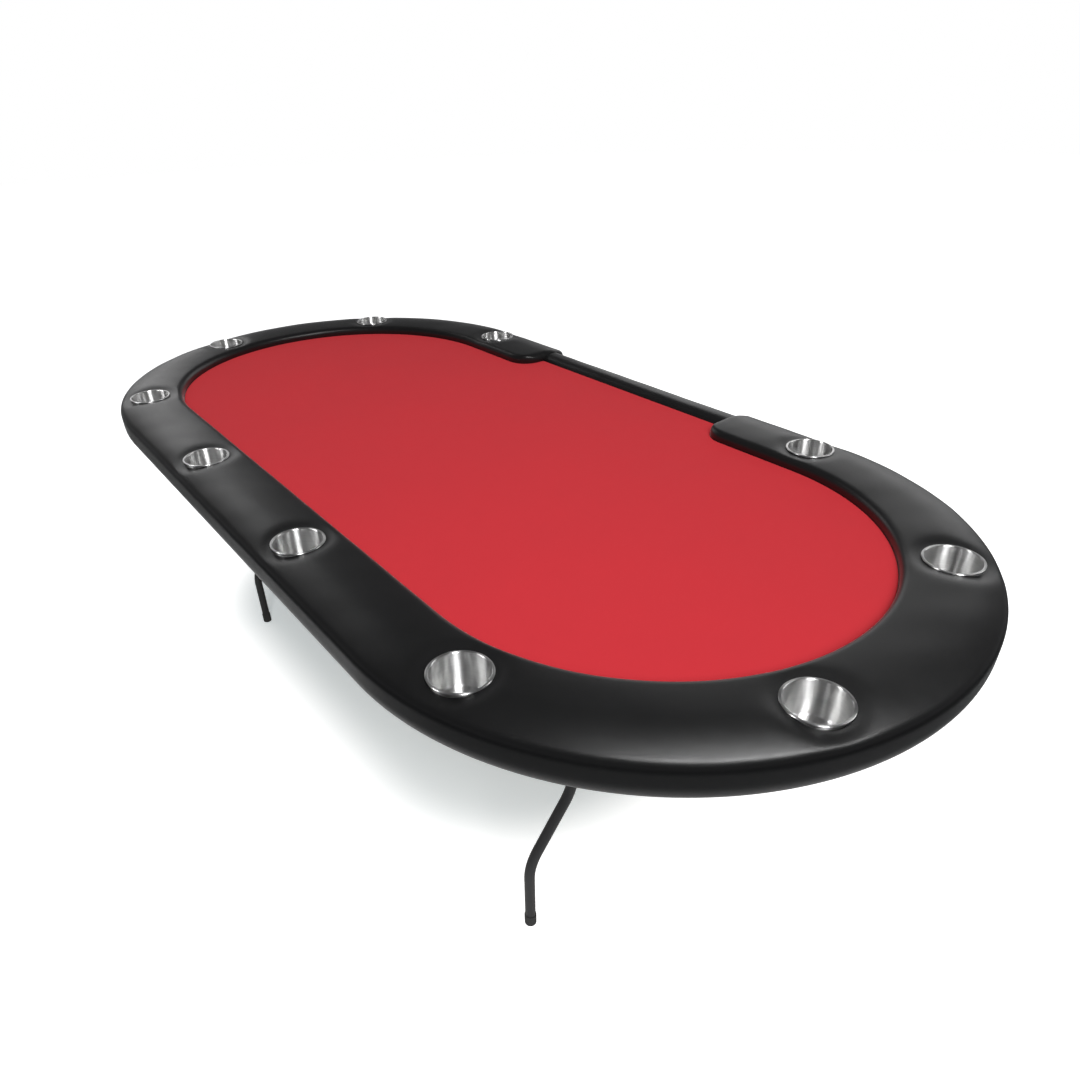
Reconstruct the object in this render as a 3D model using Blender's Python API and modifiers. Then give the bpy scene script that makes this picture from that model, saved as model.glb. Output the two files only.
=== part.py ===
"""Folding poker table: padded racetrack rail, cup holders, playing deck and two folding leg frames.

Units are metres, +Z is up and +X runs along the table. The origin is on the floor under the middle
of the table. The dealer sits in the middle of the +Y side, where the padded rail is cut back.
"""
import math

import bmesh
import bpy
from mathutils import Vector

# ---------------------------------------------------------------- driving dimensions
TABLE_LENGTH = 2.438
TABLE_WIDTH = 1.219
FELT_HEIGHT = 0.761
RAIL_RISE = 0.026
RAIL_WIDTH = 0.163
RAIL_DEPTH = 0.089
FIT_GAP = 0.0003

# Plan of the top: two straight sides joined by half circles.
OUTER_RADIUS = TABLE_WIDTH / 2
STRAIGHT_HALF = (TABLE_LENGTH - TABLE_WIDTH) / 2
FELT_RADIUS = OUTER_RADIUS - RAIL_WIDTH
RAIL_TOP = FELT_HEIGHT + RAIL_RISE
RAIL_BOTTOM = RAIL_TOP - RAIL_DEPTH
END_STEPS = 20

# Boards and cloth, from the playing surface down.
CLOTH_THICKNESS = 0.0015
FOAM_THICKNESS = 0.005
BOARD_THICKNESS = 0.018
FOAM_TOP = FELT_HEIGHT - CLOTH_THICKNESS
DECK_TOP = FOAM_TOP - FOAM_THICKNESS
DECK_BOTTOM = DECK_TOP - BOARD_THICKNESS
BASE_BOTTOM = DECK_BOTTOM - BOARD_THICKNESS
CLOTH_INSET = 0.0005

# Offsets outwards from the felt's edge.
DECK_OVERHANG = 0.030
BASE_LEDGE = 0.005
BASE_OUTER = 0.137
BASE_SPLIT_X = 0.500
PAD_HEM = 0.133

# Padded rail section.
LIP_RADIUS = 0.014
CROWN_RADIUS = 0.033
BELLY_RADIUS = 0.026
PAD_EDGE_ROUND = 0.002

# Dealer's place.
DEALER_HALF = 0.345
DEALER_EDGE_Y = 0.525
DEALER_RAIL_TOP = 0.779
DEALER_RAIL_ROUND = 0.020
NOTCH_INNER_ROUND = 0.055
NOTCH_OUTER_ROUND = 0.012
NOTCH_FLARE = 0.100
DEALER_CORNER_ROUND = 0.003

# Cup holders.
CUPS_PER_SIDE = 5
CUP_OFFSET = 0.083
CUP_FIRST = 0.249
CUP_SPACING = 0.511
CUP_FLANGE_RADIUS = 0.051
CUP_MOUTH_RADIUS = 0.0462
CUP_WALL = 0.0012
CUP_DEPTH = 0.064
CUP_FLANGE_DROP = 0.0030
CUP_FLANGE_CHAMFER = 0.0005
CUP_FLOOR_CHAMFER = 0.0020
CUP_UNDER_CHAMFER = 0.0010
CUP_CLEARANCE = 0.0012
CUP_STEPS = 24

# Folding leg frames.
LEG_X = 0.709
TUBE_RADIUS = 0.011
FOOT_Y = 0.358
KNEE_Y = 0.246
LOWER_BEND_Z = 0.181
UPPER_BEND_Z = 0.335
BEND_RADIUS = 0.115
BEND_STEPS = 5
HINGE_BOARD_LENGTH = 0.640
HINGE_BOARD_WIDTH = 0.110
HINGE_BOARD_ROUND = 0.008
HINGE_CLEARANCE = 0.0005
HINGE_Z = BASE_BOTTOM - HINGE_CLEARANCE - TUBE_RADIUS
PIVOT_BAR_HALF = 0.292
BRACKET_Y = 0.275
BRACKET_WIDTH = 0.024
BRACKET_THICKNESS = 0.0025
BRACKET_FLANGE = 0.022
CROSSBAR_DROP = 0.210
CROSSBAR_RADIUS = 0.008
CROSSBAR_WELD_REACH = 0.002
FOOT_CAP_RADIUS = 0.0126
FOOT_CAP_HEIGHT = 0.028
FOOT_CAP_FLOOR = 0.004
FOOT_CAP_CHAMFER = 0.002
FOOT_CAP_LIP_WIDTH = 0.0004
FOOT_CAP_LIP_HEIGHT = 0.001

# Two-link folding brace in the middle of each leg frame.
BRACE_REACH = 0.300
BRACE_BAR = 0.003
BRACE_HALF_WIDTH = 0.009
BRACE_EYE_RADIUS = 0.0135
BRACE_EYE_MARGIN = 0.001
UPPER_LINK_Y = -0.003
LOWER_LINK_Y = 0.003
BRACE_PIN_RADIUS = 0.004
PIN_HEAD_RADIUS = 0.0064
PIN_HEAD_THICKNESS = 0.0022
PIN_STAND_OFF = 0.0025
EAR_THICKNESS = 0.003
EAR_HALF_WIDTH = 0.012
EAR_TIP_ROUND = 0.011
EAR_FOOT_DEPTH = 0.030
EAR_FOOT_HALF = 0.028
EAR_FOOT_ROUND = 0.004
EAR_SCREW_SPREAD = 0.0168

SCREW_RADIUS = 0.0042
SCREW_HEAD = 0.0022
SCREW_RIM = 0.00088
SCREW_CROWN_RADIUS = 0.00294
SCREW_CROWN_DROP = 0.00187

# How far the cutting bodies run past what they cut.
CUTTER_REACH = 0.050

PARTS_NAME = "poker_table"


# ---------------------------------------------------------------- scene and material helpers
def clear_scene():
    for item in list(bpy.data.objects):
        bpy.data.objects.remove(item, do_unlink=True)


def new_collection(name):
    collection = bpy.data.collections.new(name)
    bpy.context.scene.collection.children.link(collection)
    return collection


def make_material(name, colour, roughness, metallic=0.0):
    material = bpy.data.materials.new(name)
    material.use_nodes = True
    shader = material.node_tree.nodes["Principled BSDF"]
    shader.inputs["Base Color"].default_value = (*colour, 1.0)
    shader.inputs["Roughness"].default_value = roughness
    shader.inputs["Metallic"].default_value = metallic
    return material


def add_object(name, bm, collection, material=None):
    """Turn a finished bmesh into an object with smooth round faces."""
    bmesh.ops.recalc_face_normals(bm, faces=bm.faces)
    mesh = bpy.data.meshes.new(name)
    bm.to_mesh(mesh)
    bm.free()
    return add_mesh_object(name, mesh, collection, material)


def add_mesh_object(name, mesh, collection, material=None):
    mesh.shade_smooth()
    mesh.set_sharp_from_angle(angle=math.radians(35))
    item = bpy.data.objects.new(name, mesh)
    collection.objects.link(item)
    if material is not None and not mesh.materials:
        mesh.materials.append(material)
    return item


def make_cutter(item):
    item.hide_render = True
    item.display_type = "WIRE"
    return item


def cut(item, cutter, operation="DIFFERENCE"):
    modifier = item.modifiers.new(cutter.name, "BOOLEAN")
    modifier.operation = operation
    modifier.object = cutter
    modifier.solver = "EXACT"


# ---------------------------------------------------------------- outline helpers
def rounded_outline(corners, steps_per_turn=32):
    """Replace each corner (x, y, radius) of a closed outline by an arc that meets both sides."""
    points = []
    for index, (x, y, radius) in enumerate(corners):
        here = Vector((x, y))
        before = Vector(corners[index - 1][:2]) - here
        after = Vector(corners[(index + 1) % len(corners)][:2]) - here
        if radius <= 0.0:
            points.append(here)
            continue
        to_before = before.normalized()
        to_after = after.normalized()
        half_angle = to_before.angle(to_after) / 2
        reach = radius / math.tan(half_angle)
        start = here + to_before * reach
        centre = here + (to_before + to_after).normalized() * (radius / math.sin(half_angle))
        turn = math.pi - 2 * half_angle
        side = 1.0 if to_before.cross(to_after) < 0.0 else -1.0
        steps = max(2, round(steps_per_turn * turn / math.tau))
        spoke = start - centre
        for step in range(steps + 1):
            angle = side * turn * step / steps
            cos_a = math.cos(angle)
            sin_a = math.sin(angle)
            points.append(centre + Vector((spoke.x * cos_a - spoke.y * sin_a,
                                           spoke.x * sin_a + spoke.y * cos_a)))
    kept = []
    for point in points:
        if not kept or (point - kept[-1]).length > 1e-6:
            kept.append(point)
    if (kept[0] - kept[-1]).length <= 1e-6:
        kept.pop()
    return kept


def slab_bmesh(outline, low, high):
    """Extrude a flat outline in plan from height low to height high."""
    bm = bmesh.new()
    face = bm.faces.new([bm.verts.new((point.x, point.y, low)) for point in outline])
    lifted = bmesh.ops.extrude_face_region(bm, geom=[face])
    top = [item for item in lifted["geom"] if isinstance(item, bmesh.types.BMVert)]
    bmesh.ops.translate(bm, verts=top, vec=(0.0, 0.0, high - low))
    return bm


def stadium_corners(radius):
    far_x = STRAIGHT_HALF + radius
    return [(far_x, -radius, radius), (far_x, radius, radius),
            (-far_x, radius, radius), (-far_x, -radius, radius)]


def playing_outline(inset):
    """Racetrack with the dealer's place bulging out between the rail's ends."""
    radius = FELT_RADIUS - inset
    half = DEALER_HALF - inset
    edge = DEALER_EDGE_Y - inset
    corners = stadium_corners(radius)
    dealer = [(half, radius, NOTCH_INNER_ROUND + inset), (half, edge, DEALER_CORNER_ROUND),
              (-half, edge, DEALER_CORNER_ROUND), (-half, radius, NOTCH_INNER_ROUND + inset)]
    return rounded_outline(corners[:2] + dealer + corners[2:], steps_per_turn=2 * END_STEPS)


def side_section(section, side, x):
    """Points of a rail section, given as (offset, height), on one straight side of the track."""
    return [(x, side * (FELT_RADIUS + point.x), point.y) for point in section]


def carried_section(section, start, moves, closed):
    """Carry a rail section along the track by straight runs and end turns.

    start is (x, side) with side -1 for the front and 1 for the dealer's side. Each move is
    ("run", distance along X) or ("turn", x of the end's centre, angle).
    """
    bm = bmesh.new()
    ring = [bm.verts.new(point) for point in side_section(section, start[1], start[0])]
    edges = [bm.edges.new((ring[index - 1], ring[index])) for index in range(len(ring))]
    first = list(ring)
    loop = ring + edges
    for move in moves:
        if move[0] == "run":
            drawn = bmesh.ops.extrude_edge_only(bm, edges=[item for item in loop
                                                           if isinstance(item, bmesh.types.BMEdge)])
            loop = drawn["geom"]
            moved = [item for item in loop if isinstance(item, bmesh.types.BMVert)]
            bmesh.ops.translate(bm, verts=moved, vec=(move[1], 0.0, 0.0))
            loop = moved + [edge for edge in loop if isinstance(edge, bmesh.types.BMEdge)
                            and all(vert in moved for vert in edge.verts)]
        else:
            steps = max(1, round(END_STEPS * abs(move[2]) / math.pi))
            turned = bmesh.ops.spin(bm, geom=loop, angle=move[2], steps=steps,
                                    axis=(0.0, 0.0, 1.0), cent=(move[1], 0.0, 0.0))
            loop = turned["geom_last"]
    if closed:
        bmesh.ops.remove_doubles(bm, verts=bm.verts, dist=1e-5)
    else:
        bm.faces.new(first)
        bmesh.ops.holes_fill(bm, edges=[item for item in loop if isinstance(item, bmesh.types.BMEdge)])
    return bm


def whole_track(section):
    """The section carried once round the table."""
    moves = [("run", STRAIGHT_HALF), ("turn", STRAIGHT_HALF, math.pi), ("run", -2 * STRAIGHT_HALF),
             ("turn", -STRAIGHT_HALF, math.pi), ("run", STRAIGHT_HALF)]
    return carried_section(section, (0.0, -1), moves, closed=True)


def cup_centre(index):
    """Centre of the cup at one step along the rail's middle line from the middle of the front."""
    along = CUP_FIRST + CUP_SPACING * index
    radius = FELT_RADIUS + CUP_OFFSET
    if along <= STRAIGHT_HALF:
        return Vector((along, -radius, 0.0))
    angle = (along - STRAIGHT_HALF) / radius
    if angle <= math.pi:
        return Vector((STRAIGHT_HALF + radius * math.sin(angle), -radius * math.cos(angle), 0.0))
    back = along - STRAIGHT_HALF - math.pi * radius
    return Vector((STRAIGHT_HALF - back, radius, 0.0))


def cup_centres():
    right = [cup_centre(index) for index in range(CUPS_PER_SIDE)]
    left = [Vector((-centre.x, centre.y, 0.0)) for centre in right]
    return right + left


# ---------------------------------------------------------------- turned and cut pieces
def turned_object(name, profile, steps, collection, material):
    """Turn a profile of (radius, height) about Z. Profiles run down the outer side."""
    bm = bmesh.new()
    verts = [bm.verts.new((radius, 0.0, height)) for radius, height in profile]
    for lower, upper in zip(verts, verts[1:]):
        bm.edges.new((lower, upper))
    mesh = bpy.data.meshes.new(name)
    bm.to_mesh(mesh)
    bm.free()
    item = bpy.data.objects.new(name, mesh)
    collection.objects.link(item)
    mesh.materials.append(material)
    screw = item.modifiers.new("turn", "SCREW")
    screw.steps = steps
    screw.render_steps = steps
    screw.use_merge_vertices = True
    screw.merge_threshold = 0.00005
    screw.use_smooth_shade = True
    return item


def rod_bmesh(radius, start, end, sides):
    """A plain round bar between two points."""
    bm = bmesh.new()
    start = Vector(start)
    axis = Vector(end) - start
    made = bmesh.ops.create_cone(bm, cap_ends=True, segments=sides, radius1=radius, radius2=radius,
                                 depth=axis.length)
    turn = axis.to_track_quat("Z", "Y").to_matrix()
    bmesh.ops.rotate(bm, verts=made["verts"], cent=(0.0, 0.0, 0.0), matrix=turn)
    bmesh.ops.translate(bm, verts=made["verts"], vec=start + axis / 2)
    return bm


def cup_cutters():
    """Stepped round cutters: the cup's body, and a shallow seat for its flange above it."""
    body_radius = CUP_MOUTH_RADIUS + CUP_WALL + CUP_CLEARANCE
    seat_radius = CUP_FLANGE_RADIUS + CUP_CLEARANCE
    seat_floor = RAIL_TOP - CUP_FLANGE_DROP - CUP_WALL - FIT_GAP
    above = RAIL_TOP + CUTTER_REACH
    below = RAIL_BOTTOM - CUTTER_REACH
    profile = [(0.0, above), (seat_radius, above), (seat_radius, seat_floor),
               (body_radius, seat_floor), (body_radius, below), (0.0, below)]
    bm = bmesh.new()
    for centre in cup_centres():
        verts = [bm.verts.new(centre + Vector((radius, 0.0, height))) for radius, height in profile]
        edges = [bm.edges.new(pair) for pair in zip(verts, verts[1:])]
        bmesh.ops.spin(bm, geom=verts + edges, angle=math.tau, steps=CUP_STEPS,
                       axis=(0.0, 0.0, 1.0), cent=centre)
    bmesh.ops.remove_doubles(bm, verts=bm.verts, dist=1e-5)
    return bm


# ---------------------------------------------------------------- top: boards, cloth and rail
def build_boards(parts, cutters, look):
    """Deck board, foam and cloth, and the rabbeted plywood base under the padded rail."""
    deck_radius = FELT_RADIUS + DECK_OVERHANG - FIT_GAP
    deck = rounded_outline(stadium_corners(deck_radius), steps_per_turn=2 * END_STEPS)
    add_object("deck_panel", slab_bmesh(deck, DECK_BOTTOM, DECK_TOP), parts, look["board"])
    padding = playing_outline(CLOTH_INSET)
    foam = slab_bmesh(padding, DECK_TOP + FIT_GAP, FOAM_TOP)
    add_object("foam_underlay", foam, parts, look["foam"])
    cloth = slab_bmesh(padding, FOAM_TOP + FIT_GAP, FELT_HEIGHT)
    add_object("playing_cloth", cloth, parts, look["cloth"])

    ledge_top = DECK_BOTTOM - FIT_GAP
    section = rounded_outline([(BASE_LEDGE, BASE_BOTTOM, 0), (BASE_OUTER, BASE_BOTTOM, 0),
                               (BASE_OUTER, DECK_TOP, 0), (DECK_OVERHANG, DECK_TOP, 0),
                               (DECK_OVERHANG, ledge_top, 0), (BASE_LEDGE, ledge_top, 0)])
    corner = STRAIGHT_HALF - BASE_SPLIT_X
    half_turn = ("turn", STRAIGHT_HALF, math.pi)
    end_moves = [("run", corner), half_turn, ("run", -corner)]
    other_turn = ("turn", -STRAIGHT_HALF, math.pi)
    other_moves = [("run", -corner), other_turn, ("run", corner)]
    side_run = 2 * (BASE_SPLIT_X - FIT_GAP)
    pieces = {
        "rail_base_right": ((BASE_SPLIT_X, -1), end_moves),
        "rail_base_left": ((-BASE_SPLIT_X, 1), other_moves),
        "rail_base_front": ((-BASE_SPLIT_X + FIT_GAP, -1), [("run", side_run)]),
        "rail_base_rear": ((BASE_SPLIT_X - FIT_GAP, 1), [("run", -side_run)]),
    }
    for name, (start, moves) in pieces.items():
        piece = carried_section(section, start, moves, closed=False)
        cut(add_object(name, piece, parts, look["board"]), cutters["cups"])


def build_rail(parts, cutters, look):
    """C-shaped armrest, cut back and rounded at the dealer's place, and the narrow dealer rail."""
    pad_floor = DECK_TOP + FIT_GAP
    hem_top = BASE_BOTTOM - FIT_GAP
    inner_wall = BASE_OUTER + FIT_GAP
    section = rounded_outline([
        (0.0, pad_floor, PAD_EDGE_ROUND), (inner_wall, pad_floor, 0), (inner_wall, hem_top, 0),
        (PAD_HEM, hem_top, 0), (PAD_HEM, RAIL_BOTTOM, PAD_EDGE_ROUND),
        (RAIL_WIDTH, RAIL_BOTTOM, BELLY_RADIUS), (RAIL_WIDTH, RAIL_TOP, CROWN_RADIUS),
        (0.0, RAIL_TOP, LIP_RADIUS)], steps_per_turn=16)
    armrest = add_object("armrest_pad", whole_track(section), parts, look["vinyl"])
    cut(armrest, cutters["notch"])
    cut(armrest, cutters["cups"])

    wall = DEALER_EDGE_Y - FELT_RADIUS
    bar = rounded_outline([
        (wall, pad_floor, PAD_EDGE_ROUND), (inner_wall, pad_floor, 0), (inner_wall, hem_top, 0),
        (PAD_HEM, hem_top, 0), (PAD_HEM, RAIL_BOTTOM, PAD_EDGE_ROUND),
        (RAIL_WIDTH, RAIL_BOTTOM, BELLY_RADIUS), (RAIL_WIDTH, DEALER_RAIL_TOP, CROWN_RADIUS),
        (wall, DEALER_RAIL_TOP, DEALER_RAIL_ROUND)],
        steps_per_turn=20)
    reach = DEALER_HALF - FIT_GAP
    bar_mesh = carried_section(bar, (reach, 1), [("run", -2 * reach)], closed=False)
    add_object("dealer_rail_pad", bar_mesh, parts, look["vinyl"])


def notch_cutter():
    """Space between the armrest's ends, flared so that each end gets two rounded corners."""
    inner_y = FELT_RADIUS - FIT_GAP
    outer_y = OUTER_RADIUS + FIT_GAP
    wide = DEALER_HALF + NOTCH_FLARE
    inside = inner_y - CUTTER_REACH
    outside = outer_y + CUTTER_REACH
    outline = rounded_outline([
        (-wide, inside, 0), (wide, inside, 0), (wide, inner_y, 0),
        (DEALER_HALF, inner_y, NOTCH_INNER_ROUND), (DEALER_HALF, outer_y, NOTCH_OUTER_ROUND),
        (wide, outer_y, 0), (wide, outside, 0), (-wide, outside, 0), (-wide, outer_y, 0),
        (-DEALER_HALF, outer_y, NOTCH_OUTER_ROUND), (-DEALER_HALF, inner_y, NOTCH_INNER_ROUND),
        (-wide, inner_y, 0)])
    return slab_bmesh(outline, RAIL_BOTTOM - CUTTER_REACH, RAIL_TOP + CUTTER_REACH)


def build_cups(parts, look):
    """Thin turned cups with a rolled flange, numbered round the table."""
    flange_top = RAIL_TOP - CUP_FLANGE_DROP
    flange_under = flange_top - CUP_WALL
    floor = flange_top - CUP_DEPTH
    profile = [
        (0.0, floor), (CUP_MOUTH_RADIUS - CUP_FLOOR_CHAMFER, floor),
        (CUP_MOUTH_RADIUS, floor + CUP_FLOOR_CHAMFER), (CUP_MOUTH_RADIUS, flange_top),
        (CUP_FLANGE_RADIUS - CUP_FLANGE_CHAMFER, flange_top), (CUP_FLANGE_RADIUS, flange_under),
        (CUP_MOUTH_RADIUS + CUP_WALL, flange_under),
        (CUP_MOUTH_RADIUS + CUP_WALL, floor + CUP_UNDER_CHAMFER), (CUP_MOUTH_RADIUS, floor - CUP_WALL),
        (0.0, floor - CUP_WALL)]
    shared = None
    for number, centre in enumerate(cup_centres(), start=1):
        name = f"cup_holder_{number}"
        if shared is None:
            cup = turned_object(name, profile, CUP_STEPS, parts, look["cup"])
            shared = cup
        else:
            cup = shared.copy()
            cup.name = name
            parts.objects.link(cup)
        cup.location = centre


# ---------------------------------------------------------------- folding leg frames
def leg_path(side):
    """Centre line of one bent leg tube, from the foot up to the pivot bar, in the leg's plane."""
    top = HINGE_Z - TUBE_RADIUS - FIT_GAP
    corners = [Vector((side * FOOT_Y, FOOT_CAP_FLOOR + FIT_GAP)), Vector((side * FOOT_Y, LOWER_BEND_Z)),
               Vector((side * KNEE_Y, UPPER_BEND_Z)), Vector((side * KNEE_Y, top))]
    points = [corners[0]]
    for before, here, after in zip(corners, corners[1:], corners[2:]):
        to_before = (before - here).normalized()
        to_after = (after - here).normalized()
        half_angle = to_before.angle(to_after) / 2
        reach = BEND_RADIUS / math.tan(half_angle)
        centre = here + (to_before + to_after).normalized() * (BEND_RADIUS / math.sin(half_angle))
        first = here + to_before * reach - centre
        last = here + to_after * reach - centre
        for step in range(BEND_STEPS + 1):
            blend = first.lerp(last, step / BEND_STEPS).normalized() * BEND_RADIUS
            points.append(centre + blend)
    points.append(corners[-1])
    return points


def tube_mesh(name, path, x):
    """Solid round tube along a path of (y, z) points, made with a bevelled curve."""
    curve = bpy.data.curves.new(name, "CURVE")
    curve.dimensions = "3D"
    curve.bevel_depth = TUBE_RADIUS
    curve.bevel_resolution = 2
    curve.use_fill_caps = True
    spline = curve.splines.new("POLY")
    spline.points.add(len(path) - 1)
    for point, place in zip(spline.points, path):
        point.co = (x, place.x, place.y, 1.0)
    holder = bpy.data.objects.new(name + "_curve", curve)
    bpy.context.scene.collection.objects.link(holder)
    depsgraph = bpy.context.evaluated_depsgraph_get()
    mesh = bpy.data.meshes.new_from_object(holder.evaluated_get(depsgraph))
    bpy.data.objects.remove(holder, do_unlink=True)
    bpy.data.curves.remove(curve)
    mesh.name = name
    bm = bmesh.new()
    bm.from_mesh(mesh)
    bmesh.ops.remove_doubles(bm, verts=bm.verts, dist=1e-5)
    bm.to_mesh(mesh)
    bm.free()
    return mesh


def build_leg_frame(label, side, parts, cutter_collection, look):
    """Two bent tubes, pivot bar and crossbar of one leg frame, with its foot caps."""
    x = side * LEG_X
    crossbar_z = HINGE_Z - CROSSBAR_DROP
    for end, y_side in (("front", -1), ("rear", 1)):
        mesh = tube_mesh(f"leg_tube_{end}_{label}", leg_path(y_side), x)
        mesh.materials.append(look["steel"])
        tube = add_mesh_object(f"leg_tube_{end}_{label}", mesh, parts)
        build_foot_cap(f"foot_cap_{end}_{label}", (x, y_side * FOOT_Y, 0.0), parts, look)
        saddle = rod_bmesh(TUBE_RADIUS + FIT_GAP, (x, y_side * (KNEE_Y - CUTTER_REACH), HINGE_Z),
                           (x, y_side * (KNEE_Y + CUTTER_REACH), HINGE_Z), 24)
        cut(tube, make_cutter(add_object(f"cope_{end}_{label}", saddle, cutter_collection)))

    bar = rod_bmesh(TUBE_RADIUS, (x, -PIVOT_BAR_HALF, HINGE_Z), (x, PIVOT_BAR_HALF, HINGE_Z), 20)
    add_object(f"pivot_bar_{label}", bar, parts, look["steel"])
    weld_y = KNEE_Y - TUBE_RADIUS + CROSSBAR_WELD_REACH
    crossbar = rod_bmesh(CROSSBAR_RADIUS, (x, -weld_y, crossbar_z), (x, weld_y, crossbar_z), 16)
    crossbar_item = add_object(f"crossbar_{label}", crossbar, parts, look["steel"])
    for y_side in (-1, 1):
        post = rod_bmesh(TUBE_RADIUS + FIT_GAP, (x, y_side * KNEE_Y, crossbar_z - CUTTER_REACH),
                         (x, y_side * KNEE_Y, crossbar_z + CUTTER_REACH), 24)
        cut(crossbar_item, make_cutter(add_object(f"cope_bar_{y_side}_{label}", post, cutter_collection)))


def build_foot_cap(name, place, parts, look):
    """Pushed-on cap: a short cup around the end of the tube."""
    bore = TUBE_RADIUS + FIT_GAP
    profile = [(0.0, FOOT_CAP_FLOOR), (bore, FOOT_CAP_FLOOR), (bore, FOOT_CAP_HEIGHT),
               (FOOT_CAP_RADIUS - FOOT_CAP_LIP_WIDTH, FOOT_CAP_HEIGHT),
               (FOOT_CAP_RADIUS, FOOT_CAP_HEIGHT - FOOT_CAP_LIP_HEIGHT),
               (FOOT_CAP_RADIUS, FOOT_CAP_CHAMFER), (FOOT_CAP_RADIUS - FOOT_CAP_CHAMFER, 0.0), (0.0, 0.0)]
    cap = turned_object(name, profile, 16, parts, look["rubber"])
    cap.location = place


def omega_outline(steps=10):
    """Strap bent over the pivot bar, in (x, z) about the bar's axis, with two screw flanges."""
    inner = TUBE_RADIUS + HINGE_CLEARANCE
    outer = inner + BRACKET_THICKNESS
    roof = TUBE_RADIUS + HINGE_CLEARANCE - FIT_GAP
    flange = outer + BRACKET_FLANGE
    underside = roof - BRACKET_THICKNESS
    inside = [Vector((-inner * math.cos(math.pi * step / steps), -inner * math.sin(math.pi * step / steps)))
              for step in range(steps + 1)]
    outside = [Vector((outer * math.cos(math.pi * step / steps), -outer * math.sin(math.pi * step / steps)))
               for step in range(steps + 1)]
    left_flange = [Vector((-outer, underside)), Vector((-flange, underside)),
                   Vector((-flange, roof)), Vector((-inner, roof))]
    right_flange = [Vector((inner, roof)), Vector((flange, roof)),
                    Vector((flange, underside)), Vector((outer, underside))]
    return inside + right_flange + outside + left_flange


def standing_slab(outline, y_low, y_high, x_offset, z_offset, side=1.0):
    """Extrude an outline drawn in (x, z) along Y. side -1 mirrors it for the left frame."""
    bm = bmesh.new()
    verts = [bm.verts.new((x_offset + side * point.x, y_low, z_offset + point.y)) for point in outline]
    face = bm.faces.new(verts)
    drawn = bmesh.ops.extrude_face_region(bm, geom=[face])
    far = [item for item in drawn["geom"] if isinstance(item, bmesh.types.BMVert)]
    bmesh.ops.translate(bm, verts=far, vec=(0.0, y_high - y_low, 0.0))
    return bm


def build_hinges(label, side, parts, look):
    """Backing board, two strap brackets that hold the pivot bar, and their screws."""
    x = side * LEG_X
    half_length = HINGE_BOARD_LENGTH / 2
    half_width = HINGE_BOARD_WIDTH / 2
    corners = rounded_outline([(x - half_width, -half_length, HINGE_BOARD_ROUND),
                               (x + half_width, -half_length, HINGE_BOARD_ROUND),
                               (x + half_width, half_length, HINGE_BOARD_ROUND),
                               (x - half_width, half_length, HINGE_BOARD_ROUND)])
    board = slab_bmesh(corners, BASE_BOTTOM, DECK_BOTTOM - FIT_GAP)
    add_object(f"hinge_board_{label}", board, parts, look["board"])
    flange_x = TUBE_RADIUS + HINGE_CLEARANCE + BRACKET_THICKNESS + BRACKET_FLANGE / 2
    head_z = HINGE_Z + TUBE_RADIUS + HINGE_CLEARANCE - BRACKET_THICKNESS - 2 * FIT_GAP
    for end, y_side in (("front", -1), ("rear", 1)):
        y = y_side * BRACKET_Y
        strap = standing_slab(omega_outline(), y - BRACKET_WIDTH / 2, y + BRACKET_WIDTH / 2, x, HINGE_Z)
        add_object(f"hinge_bracket_{end}_{label}", strap, parts, look["zinc"])
        for place, x_side in (("inner", -side), ("outer", side)):
            name = f"hinge_screw_{end}_{place}_{label}"
            build_screw(name, (x + x_side * flange_x, y, head_z), parts, look)


def build_screw(name, place, parts, look):
    """Pan head screw, head down, seen from below."""
    profile = [(0.0, 0.0), (SCREW_RADIUS, 0.0), (SCREW_RADIUS, -SCREW_RIM),
               (SCREW_CROWN_RADIUS, -SCREW_CROWN_DROP), (0.0, -SCREW_HEAD)]
    screw = turned_object(name, profile, 12, parts, look["zinc"])
    screw.location = place


# ---------------------------------------------------------------- folding braces
def brace_lengths():
    """Link lengths that lie straight when the leg stands and flat when it is folded."""
    open_length = math.hypot(BRACE_REACH, CROSSBAR_DROP)
    folded_length = BRACE_REACH - CROSSBAR_DROP
    return (open_length - folded_length) / 2, (open_length + folded_length) / 2


def link_outline(length, start_radius, end_radius, half_width, steps=8):
    """Flat bar with a round eye at each end, drawn along +X from the first eye."""
    outline = []
    for centre_x, radius, heading in ((0.0, start_radius, math.pi), (length, end_radius, 0.0)):
        opening = math.asin(min(1.0, half_width / radius))
        for step in range(steps + 1):
            angle = heading - (math.pi - opening) + 2 * (math.pi - opening) * step / steps
            outline.append(Vector((centre_x + radius * math.cos(angle), radius * math.sin(angle))))
    return outline


def placed_outline(outline, start, angle):
    cos_a = math.cos(angle)
    sin_a = math.sin(angle)
    return [Vector((start.x + point.x * cos_a - point.y * sin_a,
                    start.y + point.x * sin_a + point.y * cos_a)) for point in outline]


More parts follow.
